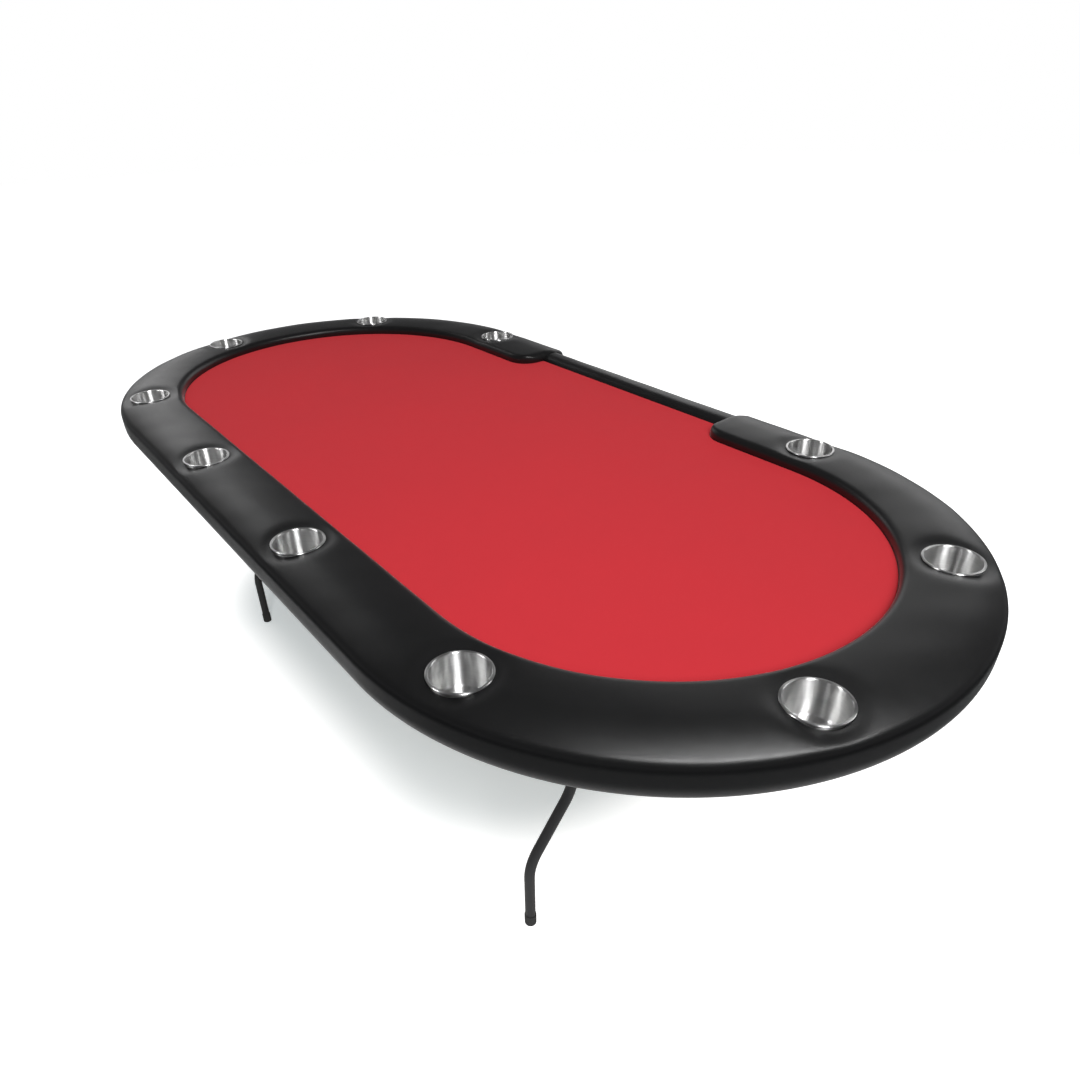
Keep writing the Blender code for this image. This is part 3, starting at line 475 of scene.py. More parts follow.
def cloth_outline():
    """Edge of the cloth and, for each of its points, a foot on the long middle line.

    Two half circles, a straight front, and a back that steps out into the dealer's place round the
    pads' rounded corners. A foot is where a fold square to the edge would meet the middle line.
    """
    radius = FELT_RADIUS - CLOTH_GAP
    half = DEALER_HALF - CLOTH_GAP
    corner = PAD_CORNER + CLOTH_GAP
    right_end = arc_points((STRAIGHT_HALF, 0.0), radius, -90, 90, 73)
    right_foot = row_points(np.full(len(right_end), STRAIGHT_HALF), 0.0)
    step_in = arc_points((half + corner, radius + corner), corner, -90, -180, 15)
    edge = FELT_RADIUS + DEALER_EDGE - CLOTH_GAP
    straight = np.linspace(STRAIGHT_HALF, half + corner, 12)[1:-1]
    across = np.linspace(half - 3 * CLOTH_CHAMFER, 0.0, 20)
    chamfer = [[half, edge - CLOTH_CHAMFER], [half - 0.3 * CLOTH_CHAMFER, edge - 0.3 * CLOTH_CHAMFER],
               [half - CLOTH_CHAMFER, edge]]
    side_points = np.concatenate([row_points(straight, radius), step_in, chamfer, row_points(across, edge)])
    length = along(side_points)
    first, last = len(straight) - 3, len(side_points) - len(across) + 3
    foot_x = side_points[:, 0].copy()
    foot_x[first:last + 1] = np.interp(length[first:last + 1], [length[first], length[last]],
                                       [foot_x[first], foot_x[last]])
    half_foot = row_points(foot_x, 0.0)
    mirror = np.array([-1.0, 1.0])
    back = np.concatenate([side_points, (side_points * mirror)[-2::-1]])
    back_foot = np.concatenate([half_foot, (half_foot * mirror)[-2::-1]])
    front_foot = back_foot[::-1]
    front = row_points(front_foot[:, 0], -radius)
    left_end = (right_end * mirror)[::-1]
    left_foot = (right_foot * mirror)[::-1]
    outline = np.concatenate([right_end, back, left_end, front])
    foot = np.concatenate([right_foot, back_foot, left_foot, front_foot])
    return outline, foot


def build_cloth(material):
    """Cloth pulled flat over the foam: rings of the outline shrink to the middle line.

    Its top rolls down over the last three millimetres by a quarter ellipse, where it tucks in at the pads.
    """
    outline, foot = cloth_outline()
    spoke = foot - outline
    reach = np.linalg.norm(spoke, axis=1)
    close = np.array([0.0, 0.0002, 0.0006, 0.0012, 0.002, 0.003, 0.006, 0.012, 0.024])
    share = np.linspace(0.0, 1.0, 17)[1:]
    near = close[:, None] / reach
    rings = np.concatenate([near, near[-1] + (1 - near[-1]) * share[:, None]])
    plan = outline[None] + spoke[None] * rings[..., None]
    depth = rings * reach
    drop = CLOTH_ROLL_DROP * (1 - np.sqrt(1 - np.clip(1 - depth / CLOTH_ROLL, 0.0, 1.0) ** 2))
    top = np.concatenate([plan, (CLOTH_TOP - drop)[..., None]], axis=-1)
    under = np.concatenate([plan, np.full(depth.shape, CLOTH_UNDERSIDE)[..., None]], axis=-1)
    shell = np.concatenate([under[::-1], top])
    piece = mesh_piece("stretched_playing_cloth", shell, grid_faces(*shell.shape[:2], wrap_columns=True),
                       material, "red_speed_cloth", stands_for="playing_cloth", smooth_angle=60)


# ---------------------------------------------------------------- cup holders
MOUTH_RADIUS = 0.0462
CUP_WALL = 0.0012
RIM_RADIUS = 0.0510
RIM_TOP = 0.7842
FLOOR_HEIGHT = 0.7200
FLOOR_FILLET = 0.0035
RIM_ROLL = 0.0011
NECK_RADIUS = 0.0482
INNER_ROLL = (0.0013, 0.0015)
FLOOR_RING = 0.033
RING_WIDTH = 0.0012
RING_RELIEF = 0.0005
FLOOR_RADII = (0.0385, 0.0360, 0.0348, 0.0340, 0.0330, 0.0320, 0.0312, 0.0300, 0.0250, 0.0150, 0.0060, 0.0)
CUP_STEPS = 96


def cup_profile():
    """Half section of a drawn cup: wall, rolled rim made of quarter circles, floor with a pressed ring.

    The ring is a bell-shaped groove, and the floor inside it rises by an ease.
    """
    outer = MOUTH_RADIUS + CUP_WALL
    underside = FLOOR_HEIGHT - CUP_WALL
    shoulder = RIM_TOP - RIM_ROLL
    roll_centre = RIM_RADIUS - RIM_ROLL
    heel = arc_points((outer - FLOOR_FILLET, underside + FLOOR_FILLET), FLOOR_FILLET, -90, 0, 6)
    under_rim = [[outer, shoulder - 0.0016], [NECK_RADIUS, shoulder - 0.0008],
                 [roll_centre, shoulder - RIM_ROLL]]
    roll = arc_points((roll_centre, shoulder), RIM_ROLL, -60, 90, 9)
    inner_roll = arc_points((MOUTH_RADIUS + INNER_ROLL[0], RIM_TOP - INNER_ROLL[1]), INNER_ROLL, 90, 180, 7)
    wall = [[MOUTH_RADIUS, height] for height in np.linspace(RIM_TOP - 0.004, FLOOR_HEIGHT + 0.006, 12)]
    fillet = arc_points((MOUTH_RADIUS - FLOOR_FILLET, FLOOR_HEIGHT + FLOOR_FILLET), FLOOR_FILLET, 0, -90, 7)
    radii = np.array(FLOOR_RADII)
    ring = -RING_RELIEF * np.exp(-((radii - FLOOR_RING) / RING_WIDTH) ** 2)
    dome = RING_RELIEF * smooth_step(1 - radii / FLOOR_RING)
    floor = np.stack([radii, FLOOR_HEIGHT + ring + dome], axis=1)
    return np.concatenate([[[0.0, underside]], heel, under_rim, roll, inner_roll, wall, fillet, floor])


def build_cups(material):
    """Ten cups, turned round their own upright axes, each set in its well."""
    profile = cup_profile()
    return [mesh_piece(f"drawn_cup_{index + 1}", *turned_surface(profile, CUP_STEPS, (x, y, 0.0)), material,
                       "brushed_stainless", stands_for=f"cup_holder_{index + 1}")
            for index, (x, y) in enumerate(CUP_CENTRES)]


# ---------------------------------------------------------------- folding legs
LEG_X = sum(corner.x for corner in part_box("leg_tube_front_right")) / 2
PIVOT_HEIGHT = sum(corner.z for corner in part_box("pivot_bar_right")) / 2
PIVOT_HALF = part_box("pivot_bar_right")[1].y
CROSSBAR_HEIGHT = sum(corner.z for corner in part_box("crossbar_right")) / 2
TUBE_RADIUS = 0.0110
CROSSBAR_RADIUS = 0.0080
FOOT_Y = 0.358
KNEE_Y = 0.246
LOWER_BEND = 0.181
UPPER_BEND = 0.335
BEND_RADIUS = 0.115
CAP_RADIUS = 0.0126
CAP_HEIGHT = 0.028
CAP_FLOOR = 0.004
SOLE_ROUND = 0.002
RIB_DEPTH = 0.0004
RIB_PERIOD = 0.0048
LIP_HEIGHT = 0.0007
BURIED_SHARE = 0.72
WELD_BEAD = 0.0016
CROSSBAR_WELD_REACH = 0.003
PIVOT_END = 0.996
PIVOT_END_ROUND = 0.0008
ENDS = (("front", -1), ("rear", 1))
SIDES = (("right", 1), ("left", -1))


def bent_leg_line():
    """Centre line of a bent leg as (y, z): three straights joined by two arcs of one radius."""
    corners = np.array([[FOOT_Y, CAP_FLOOR + 0.0004], [FOOT_Y, LOWER_BEND], [KNEE_Y, UPPER_BEND],
                        [KNEE_Y, PIVOT_HEIGHT - TUBE_RADIUS * BURIED_SHARE]])
    line = [corners[:1]]
    for before, here, after in zip(corners, corners[1:], corners[2:]):
        back, ahead = unit(before - here), unit(after - here)
        half = math.acos(float(back @ ahead)) / 2
        centre = here + unit(back + ahead) * BEND_RADIUS / math.sin(half)
        start = here + back * BEND_RADIUS / math.tan(half) - centre
        stop = here + ahead * BEND_RADIUS / math.tan(half) - centre
        blend = np.linspace(0.0, 1.0, 15)[:, None]
        line.append(centre + BEND_RADIUS * unit(start * (1 - blend) + stop * blend))
    line = np.concatenate(line + [corners[-1:]])
    return resampled(line, np.union1d(along(line), np.arange(0.02, along(line)[-1], 0.02)))


def saddle_bead(centre, along_axis, round_axis, radius, big_radius, shift, ground=0.0):
    """Weld bead round a tube that butts on a bigger one: a ripple-edged ring that follows the saddle.

    Round the small tube the ring stands off from the big tube's axis by the square root of its radius
    squared less the sideways distance squared, and 26 ripples swell it by a sixth. On the side that
    ground points to it is ground down to a fifth, so that the leg folds flat.
    """
    angle = np.linspace(0.0, math.tau, 104, endpoint=False)
    along_axis, round_axis = np.asarray(along_axis, float), np.asarray(round_axis, float)
    other = np.cross(along_axis, round_axis)
    sideways = radius * np.cos(angle)
    stand_off = np.sqrt(np.maximum(big_radius ** 2 - sideways ** 2, 0.0))
    path = (np.asarray(centre, float) + sideways[:, None] * other
            + (radius * np.sin(angle))[:, None] * round_axis + (stand_off + shift)[:, None] * along_axis)
    left_over = 1 - 0.8 * smooth_step(1.4 * ground * np.cos(angle))
    bead = WELD_BEAD * left_over * (1 + np.sin(26 * angle) / 6)
    return swept_tube(path, bead, 8, closed=True, reference=along_axis)


def level_tube(x, y, height, radius, sides):
    """Tube along Y at one height, through the given places."""
    path = np.stack([np.full(len(y), x), y, np.full(len(y), height)], axis=1)
    return swept_tube(path, radius, sides)


def build_leg_frames(powder_coat, rubber):
    """Each frame: two bent tubes, pivot bar and crossbar with rounded ends, weld beads and rubber feet."""
    line = bent_leg_line()
    tail = np.array([PIVOT_END, 0.9985, 1.0])
    bar_y = np.concatenate([-tail[::-1], np.linspace(-0.96, 0.96, 33), tail]) * PIVOT_HALF
    rounded = np.clip((np.abs(bar_y) / PIVOT_HALF - PIVOT_END) / (1 - PIVOT_END), 0.0, 1.0)
    bar_radius = TUBE_RADIUS - PIVOT_END_ROUND * rounded ** 2
    cross_half = KNEE_Y - TUBE_RADIUS + CROSSBAR_WELD_REACH
    cross_y = np.linspace(-cross_half, cross_half, 31)
    for label, side in SIDES:
        body = f"leg_frame_{label}"
        x = side * LEG_X
        tubes = {"pivot_tube": (level_tube(x, bar_y, PIVOT_HEIGHT, bar_radius, 36), "pivot_bar"),
                 "cross_tube": (level_tube(x, cross_y, CROSSBAR_HEIGHT, CROSSBAR_RADIUS, 32), "crossbar")}
        beads = []
        for end, y_side in ENDS:
            path = np.stack([np.full(len(line), x), y_side * line[:, 0], line[:, 1]], axis=1)
            tubes[f"bent_leg_{end}"] = swept_tube(path, TUBE_RADIUS, 36), f"leg_tube_{end}"
            beads.append(saddle_bead((x, y_side * KNEE_Y, PIVOT_HEIGHT), (0, 0, -1), (0, 1, 0), TUBE_RADIUS,
                                     TUBE_RADIUS + 0.0006, 0.0004, ground=-side))
            beads.append(saddle_bead((x, y_side * KNEE_Y, CROSSBAR_HEIGHT), (0, -y_side, 0), (0, 0, 1),
                                     CROSSBAR_RADIUS, TUBE_RADIUS, 0.0005))
            foot = foot_shape((x, y_side * FOOT_Y, 0.0))
            mesh_piece(f"rubber_foot_{end}_{label}", *foot, rubber, "black_rubber", body,
                       f"foot_cap_{end}_{label}")
        for name, (shape, node) in tubes.items():
            mesh_piece(f"{name}_{label}", *shape, powder_coat, "black_powder_coat", body, f"{node}_{label}")
        mesh_piece(f"weld_beads_{label}", *joined(beads), powder_coat, "black_powder_coat", body)


def foot_shape(place):
    """Half section of a moulded foot cap turned round the tube: ribbed skirt, dished sole, rounded lip."""
    bore = TUBE_RADIUS + 0.0002
    sole = arc_points((CAP_RADIUS - SOLE_ROUND, SOLE_ROUND), SOLE_ROUND, -90, 0, 6)
    rib_heights = np.linspace(0.005, CAP_HEIGHT - 0.004, 31)
    grooves = RIB_DEPTH * np.sin(rib_heights * math.tau / RIB_PERIOD) ** 2
    ribs = np.stack([CAP_RADIUS - grooves, rib_heights], axis=1)
    lip = arc_points(((CAP_RADIUS + bore) / 2, CAP_HEIGHT - LIP_HEIGHT),
                     ((CAP_RADIUS - bore) / 2, LIP_HEIGHT), 0, 180, 7)
    profile = np.concatenate([[[0.0, 0.0006], [0.0060, 0.0006], [0.0076, 0.0]], sole, ribs, lip,
                              [[bore, CAP_FLOOR], [0.0, CAP_FLOOR]]])
    return turned_surface(profile, 40, place)


STRAP_THICKNESS = 0.0025
STRAP_BEND = 0.0022
STRAP_FLANGE = 0.0215
STRAP_HALF_WIDTH = 0.0119
STRAP_EDGE = 0.0005
STRAP_TAPER = 0.78
STRAP_TIP = 0.003
STRAP_Y = 0.275
STAPLE_SPACING = 0.045
STAPLE_MARGIN = 0.03
STAPLE_HALF = 0.0055
STAPLE_WIRE = 0.0005
STAPLE_SLANT = 0.35
STAPLE_OFFSET = PAD_HEM - 0.0068


def strap_line():
    """Middle line of a strap bent over the pivot bar, as (x, z): flange, bend, half circle, bend, flange."""
    middle = TUBE_RADIUS + 0.0005 + STRAP_THICKNESS / 2
    roof = TUBE_RADIUS + 0.0002 - STRAP_THICKNESS / 2
    half = arc_points((0.0, 0.0), middle, 180, 360, 29)
    left = arc_points((-middle - STRAP_BEND, roof - STRAP_BEND), STRAP_BEND, 90, 0, 7)
    right = arc_points((middle + STRAP_BEND, roof - STRAP_BEND), STRAP_BEND, 180, 90, 7)
    reach = middle + STRAP_THICKNESS / 2 + STRAP_FLANGE
    return np.concatenate([[[-reach, roof]], left, half, right, [[reach, roof]]])


def build_straps(zinc):
    """Four straps: the bent middle line given a thickness, its width rounded off at the flange corners."""
    line = strap_line()
    tangent = unit(np.gradient(line, axis=0))
    normal = np.stack([-tangent[:, 1], tangent[:, 0]], axis=1)
    quarter = np.array([[STRAP_HALF_WIDTH - STRAP_EDGE, 0.5],
                        [STRAP_HALF_WIDTH, 0.5 - STRAP_EDGE / STRAP_THICKNESS]])
    over = np.concatenate([quarter[::-1] * [-1, 1], quarter])
    ring = np.concatenate([over, over[::-1] * [1, -1]])
    tip = np.array([[STRAP_TIP, 0.0]])
    line = np.concatenate([line[:1], line[:1] + tip, line[1:-1], line[-1:] - tip, line[-1:]])
    normal = np.concatenate([normal[:1], normal, normal[-1:]])
    taper = np.ones((len(line), 1))
    taper[[0, -1]] = STRAP_TAPER
    out_x, out_z = (line[:, None] + normal[:, None] * ring[None, :, 1:] * STRAP_THICKNESS).transpose(2, 0, 1)
    for label, side in SIDES:
        for end, y_side in ENDS:
            y = y_side * STRAP_Y + taper * ring[None, :, 0]
            faces = grid_faces(*y.shape, wrap_columns=True) + end_caps(*y.shape)
            verts = np.stack([side * LEG_X + out_x, y, PIVOT_HEIGHT + out_z], axis=-1)
            mesh_piece(f"bent_strap_{end}_{label}", verts, faces, zinc, "zinc_plate",
                       stands_for=f"hinge_bracket_{end}_{label}")


def build_staples(steel):
    """Staples that hold the vinyl's hem under the rail base: small bowed bars in a row along the hem."""
    reach = TRACK_END - STAPLE_MARGIN
    count = int(2 * reach / STAPLE_SPACING)
    bow = np.linspace(-STAPLE_HALF, STAPLE_HALF, 5)[None, :, None]
    wide, deep = (np.array([[-1, 0], [-1, -1.6], [1, -1.6], [1, 0]]) * STAPLE_WIRE).T[:, None, None]
    station = np.linspace(-reach, reach, count)[:, None, None] + bow + wide * STAPLE_SLANT
    across = STAPLE_OFFSET + bow * STAPLE_SLANT + wide
    x, y = track(station, np.broadcast_to(across, station.shape))
    z = np.broadcast_to(BASE_BOTTOM - FIT_GAP / 2 + deep, x.shape)
    one = grid_faces(5, 4, wrap_columns=True) + end_caps(5, 4)
    faces = [[index + 20 * row for index in face] for row in range(count) for face in one]
    mesh_piece("hem_staples", np.stack([x, y, z], axis=-1), faces, steel, "zinc_plate")


# ---------------------------------------------------------------- shader helpers
def put(tree, kind, sockets, **properties):
    """Add a node. Its properties are set, and each named socket gets a value or a link from another node."""
    item = tree.nodes.new(kind)
    for name, value in properties.items():
        setattr(item, name, value)
    for name, value in sockets.items():
        if isinstance(value, bpy.types.NodeSocket):
            tree.links.new(value, item.inputs[name])
        else:
            item.inputs[name].default_value = value
    return item


def noise(tree, place, scale, detail, **more):
    """Noise of a scale and detail, as a value from 0 to 1."""
    sockets = {"Vector": place, "Scale": scale, "Detail": detail, **more}
    return put(tree, "ShaderNodeTexNoise", sockets).outputs["Fac"]


def maths(tree, operation, *values):
    """One step of arithmetic on numbers."""
    return put(tree, "ShaderNodeMath", dict(enumerate(values)), operation=operation).outputs[0]


def vector_maths(tree, operation, *values):
    """One step of arithmetic on vectors."""
    return put(tree, "ShaderNodeVectorMath", dict(enumerate(values)), operation=operation).outputs[0]


def ranged(tree, value, low, high, to_low=0.0, to_high=1.0, ease="LINEAR"):
    """Map a value from one range onto another."""
    return put(tree, "ShaderNodeMapRange", {"Value": value, 1: low, 2: high, 3: to_low, 4: to_high},
               interpolation_type=ease).outputs[0]


def mixed_colour(tree, factor, first, second):
    """Blend two colours by a mask."""
    return put(tree, "ShaderNodeMix", {0: factor, 6: first, 7: second}, data_type="RGBA").outputs[2]


def mixed_shader(tree, factor, first, second):
    """Choose between two shaders by a mask."""
    return put(tree, "ShaderNodeMixShader", {0: factor, 1: first, 2: second}).outputs[0]


def new_group(name, defaults, *results):
    """Empty shader group: a Vector and named values go in, and named values come out."""
    group = bpy.data.node_groups.new(name, "ShaderNodeTree")
    for label, value in {"Vector": None, **defaults}.items():
        kind = "NodeSocketFloat" if isinstance(value, float) else "NodeSocketVector"
        socket = group.interface.new_socket(name=label, in_out="INPUT", socket_type=kind)
        if value is not None:
            socket.default_value = value
    for label in results:
        group.interface.new_socket(name=label, in_out="OUTPUT", socket_type="NodeSocketFloat")
    return group, put(group, "NodeGroupInput", {}).outputs


def use_group(tree, group, sockets):
    """Place a shared group in a material, with this material's own values."""
    return put(tree, "ShaderNodeGroup", sockets, node_tree=group).outputs


def new_material(name, settings):
    """Material with a Principled shader whose plain values are set, and its object coordinates."""
    material = bpy.data.materials.new(name)
    material.use_nodes = True
    tree = material.node_tree
    tree.nodes.clear()
    shader = put(tree, "ShaderNodeBsdfPrincipled", settings)
    put(tree, "ShaderNodeOutputMaterial", {"Surface": shader.outputs["BSDF"]})
    return material, tree, shader, put(tree, "ShaderNodeTexCoord", {}).outputs["Object"]


def surface(material, shader, colour, roughness, height, distance, strength):
    """Drive the shader with a colour, a roughness and a bump from a height with metres of relief."""
    tree = material.node_tree
    bump = put(tree, "ShaderNodeBump", {"Height": height, "Distance": distance, "Strength": strength})
    for name, value in (("Base Color", colour), ("Roughness", roughness), ("Normal", bump.outputs["Normal"])):
        tree.links.new(value, shader.inputs[name])
    return material


# ---------------------------------------------------------------- shared effects
def pebble_group():
    """Pressed leather grain: domed cells with creases between them, warped and broken up by noise."""
    group, given = new_group("pebble_grain", {"Cells": 900.0}, "Height", "Crease")
    warp = put(group, "ShaderNodeTexNoise", {"Vector": given["Vector"], "Scale": 160.0, "Detail": 2.0})
    shift = put(group, "ShaderNodeVectorMath", {0: warp.outputs["Color"], "Scale": 0.0016}, operation="SCALE")
    place = vector_maths(group, "ADD", given["Vector"], shift.outputs[0])
    cells = put(group, "ShaderNodeTexVoronoi", {"Vector": place, "Scale": given["Cells"]},
                feature="DISTANCE_TO_EDGE")
    dome = ranged(group, cells.outputs["Distance"], 0.0, 0.28, ease="SMOOTHERSTEP")
    fine = noise(group, given["Vector"], 2600.0, 3.0)
    put(group, "NodeGroupOutput", {"Height": maths(group, "MULTIPLY_ADD", fine, 0.25, dome),
                                   "Crease": maths(group, "SUBTRACT", 1.0, dome)})
    return group


def handling_group():
    """Slow uneven polish from hands and cleaning: two sizes of noise, mapped from a low to a high value."""
    group, given = new_group("handling_marks", {"Size": 6.0, "Low": 0.3, "High": 0.5}, "Value", "Mask")
    wide = noise(group, given["Vector"], given["Size"], 4.0, Roughness=0.55)
    small = noise(group, given["Vector"], maths(group, "MULTIPLY", given["Size"], 9.0), 3.0)
    mask = ranged(group, maths(group, "MULTIPLY_ADD", small, 0.35, wide), 0.45, 0.95)
    value = ranged(group, mask, 0.0, 1.0, given["Low"], given["High"])
    put(group, "NodeGroupOutput", {"Value": value, "Mask": mask})
    return group


def brushed_group():
    """Brush marks: noise drawn out along two axes and very fine along the third."""
    group, given = new_group("brush_marks", {"Stretch": (30.0, 30.0, 2600.0)}, "Height", "Streak")
    place = vector_maths(group, "MULTIPLY", given["Vector"], given["Stretch"])
    put(group, "NodeGroupOutput", {"Height": noise(group, place, 1.0, 3.0, Roughness=0.7),
                                   "Streak": noise(group, place, 0.23, 2.0)})
    return group


def stipple_group():
    """Fine orange peel of a sprayed or moulded skin, with a few larger specks of dust in it."""
    group, given = new_group("sprayed_stipple", {"Scale": 900.0}, "Height", "Specks")
    dust = put(group, "ShaderNodeTexVoronoi", {"Vector": given["Vector"], "Scale": 210.0}, feature="F1")
    put(group, "NodeGroupOutput", {"Height": noise(group, given["Vector"], given["Scale"], 2.0),
                                   "Specks": ranged(group, dust.outputs["Distance"], 0.10, 0.16, 1.0, 0.0)})
    return group


GRAIN = pebble_group()
HANDLING = handling_group()
BRUSHED = brushed_group()
STIPPLE = stipple_group()


# ---------------------------------------------------------------- finishes
def red_cloth():
    """Woven speed cloth: crossed threads about half a millimetre wide, a soft nap and slow shade changes."""
    material, tree, shader, place = new_material("red_speed_cloth", {
        "Specular IOR Level": 0.12, "Sheen Weight": 0.10, "Sheen Roughness": 0.45,
        "Sheen Tint": (1.0, 0.45, 0.42, 1.0)})
    bands = {"Vector": place, "Scale": 560.0, "Distortion": 1.2, "Detail": 2.0, "Detail Scale": 1.5}
    warp, weft = (put(tree, "ShaderNodeTexWave", bands, bands_direction=axis) for axis in ("X", "Y"))
    weave = maths(tree, "MULTIPLY", warp.outputs["Fac"], weft.outputs["Fac"])
    nap = noise(tree, place, 420.0, 4.0, Roughness=0.7)
    shade = maths(tree, "MULTIPLY_ADD", weave, 0.35, nap)
    thread = mixed_colour(tree, shade, (0.520, 0.026, 0.036, 1.0), (0.640, 0.036, 0.046, 1.0))
    slow = use_group(tree, HANDLING, {"Vector": place, "Size": 1.4, "Low": 0.80, "High": 0.92})
    colour = mixed_colour(tree, slow["Mask"], (0.560, 0.030, 0.040, 1.0), thread)
    height = maths(tree, "MULTIPLY_ADD", nap, 0.5, weave)
    return surface(material, shader, colour, slow["Value"], height, 0.00012, 0.5)


def black_vinyl():
    """Satin black vinyl: pebble grain, its creases painted a little darker as painted shade, hand polish that
    comes and goes.
    """
    material, tree, shader, place = new_material("black_vinyl", {
        "Specular IOR Level": 0.5, "Sheen Weight": 0.22, "Sheen Roughness": 0.22})
    grain = use_group(tree, GRAIN, {"Vector": place, "Cells": 760.0})
    polish = use_group(tree, HANDLING, {"Vector": place, "Size": 5.0, "Low": 0.30, "High": 0.38})
    # painted shade: the low creases between the grain's cells are darker in colour
    body = mixed_colour(tree, grain["Crease"], (0.0050, 0.0050, 0.0053, 1.0), (0.0030, 0.0030, 0.0032, 1.0))
    colour = mixed_colour(tree, polish["Mask"], (0.0040, 0.0040, 0.0043, 1.0), body)
    return surface(material, shader, colour, polish["Value"], grain["Height"], 0.00006, 0.55)


def brushed_steel():
    """Stainless steel brushed round the cup: light spreads up and down the wall, with faint duller bands."""
    material, tree, shader, place = new_material("brushed_stainless", {
        "Metallic": 1.0, "Anisotropic": 0.96, "Anisotropic Rotation": 0.25})
    marks = use_group(tree, BRUSHED, {"Vector": place, "Stretch": (14.0, 14.0, 1500.0)})
    polish = use_group(tree, HANDLING, {"Vector": place, "Size": 16.0, "Low": 0.29, "High": 0.34})
    colour = mixed_colour(tree, marks["Streak"], (0.58, 0.58, 0.58, 1.0), (0.76, 0.757, 0.75, 1.0))
    return surface(material, shader, colour, polish["Value"], marks["Height"], 0.000008, 0.5)


def powder_coat():
    """Black powder coat on the legs: fine peel, a few specks, low satin gloss."""
    material, tree, shader, place = new_material("black_powder_coat", {"Specular IOR Level": 0.5})
    skin = use_group(tree, STIPPLE, {"Vector": place, "Scale": 1300.0})
    polish = use_group(tree, HANDLING, {"Vector": place, "Size": 14.0, "Low": 0.34, "High": 0.50})
    colour = mixed_colour(tree, skin["Specks"], (0.0330, 0.0330, 0.0340, 1.0), (0.052, 0.052, 0.052, 1.0))
    return surface(material, shader, colour, polish["Value"], skin["Height"], 0.00008, 0.5)


def black_rubber():
    """Moulded rubber feet: dull, stippled, greyer where floor dust has rubbed in."""
    material, tree, shader, place = new_material("black_rubber", {"Specular IOR Level": 0.35})
    skin = use_group(tree, STIPPLE, {"Vector": place, "Scale": 1900.0})
    dust = use_group(tree, HANDLING, {"Vector": place, "Size": 60.0, "Low": 0.62, "High": 0.85})
    colour = mixed_colour(tree, dust["Mask"], (0.044, 0.044, 0.044, 1.0), (0.070, 0.069, 0.066, 1.0))
    return surface(material, shader, colour, dust["Value"], skin["Height"], 0.00010, 0.6)


def zinc_plate():
    """Bright zinc plating: spangled cells, fine draw marks and a faint yellow cast in places."""
    material, tree, shader, place = new_material("zinc_plate", {"Metallic": 1.0})
    spangle = put(tree, "ShaderNodeTexVoronoi", {"Vector": place, "Scale": 190.0}, feature="F1")
    tone = put(tree, "ShaderNodeSeparateColor", {"Color": spangle.outputs["Color"]})
    polish = use_group(tree, HANDLING, {"Vector": place, "Size": 45.0, "Low": 0.28, "High": 0.46})
    plate = mixed_colour(tree, tone.outputs["Red"], (0.50, 0.51, 0.53, 1.0), (0.66, 0.66, 0.66, 1.0))
    colour = mixed_colour(tree, polish["Mask"], plate, (0.62, 0.60, 0.53, 1.0))
    marks = use_group(tree, BRUSHED, {"Vector": place, "Stretch": (2200.0, 60.0, 900.0)})
    return surface(material, shader, colour, polish["Value"], marks["Height"], 0.00003, 0.5)


def plywood(name, along_x):
    """Birch plywood: long grain on its faces, stacked plies of two tones on its edges.

    The face pattern is noise drawn out along the board. The edge pattern is bands by height, and a
    mask from how level the surface is chooses between the two.
    """
    material, tree, shader, place = new_material(name, {"Specular IOR Level": 0.35})
    board = vector_maths(tree, "MULTIPLY", place, (1.6, 26.0, 26.0) if along_x else (26.0, 1.6, 26.0))
    figure = noise(tree, board, 1.0, 6.0, Roughness=0.62, Distortion=0.8)
    fibre = noise(tree, board, 22.0, 3.0)
    face = mixed_colour(tree, figure, (0.36, 0.22, 0.115, 1.0), (0.62, 0.44, 0.265, 1.0))
    face = mixed_colour(tree, fibre, (0.40, 0.255, 0.14, 1.0), face)
    bands = {"Vector": place, "Scale": 105.0, "Distortion": 0.6, "Detail": 1.0}
    plies = put(tree, "ShaderNodeTexWave", bands, bands_direction="Z", wave_profile="SIN")
    layer = ranged(tree, plies.outputs["Fac"], 0.42, 0.58)
    edge = mixed_colour(tree, layer, (0.26, 0.145, 0.07, 1.0), (0.56, 0.40, 0.24, 1.0))
    shape = put(tree, "ShaderNodeNewGeometry", {})
    axes = put(tree, "ShaderNodeSeparateXYZ", {0: shape.outputs["Normal"]})
    level = maths(tree, "GREATER_THAN", maths(tree, "ABSOLUTE", axes.outputs["Z"]), 0.6)
    colour = mixed_colour(tree, level, edge, face)
    wear = use_group(tree, HANDLING, {"Vector": place, "Size": 8.0, "Low": 0.55, "High": 0.75})
    return surface(material, shader, colour, wear["Value"], fibre, 0.00015, 0.5)


def underlay_foam():
    """Closed-cell foam sheet: pale grey with small open cells at its cut faces, the low creases between them
    painted darker as painted shade.
    """
    material, tree, shader, place = new_material("underlay_foam", {"Specular IOR Level": 0.2})
    cells = use_group(tree, GRAIN, {"Vector": place, "Cells": 1100.0})
    tone = use_group(tree, HANDLING, {"Vector": place, "Size": 12.0, "Low": 0.85, "High": 0.95})
    # painted shade: the low creases between the cells are darker in colour
    colour = mixed_colour(tree, cells["Crease"], (0.42, 0.42, 0.43, 1.0), (0.30, 0.30, 0.31, 1.0))
    return surface(material, shader, colour, tone["Value"], cells["Height"], 0.0002, 0.6)


def dress_cad_nodes(finishes):
    """Give each part that stays as drawn its finish, by the longest start of its name that is listed."""
    for name, item in NODES.items():
        starts = [start for start in finishes if name.startswith(start)]
        if starts:
            for holder in item.material_slots:
                holder.material = finishes[max(starts, key=len)]


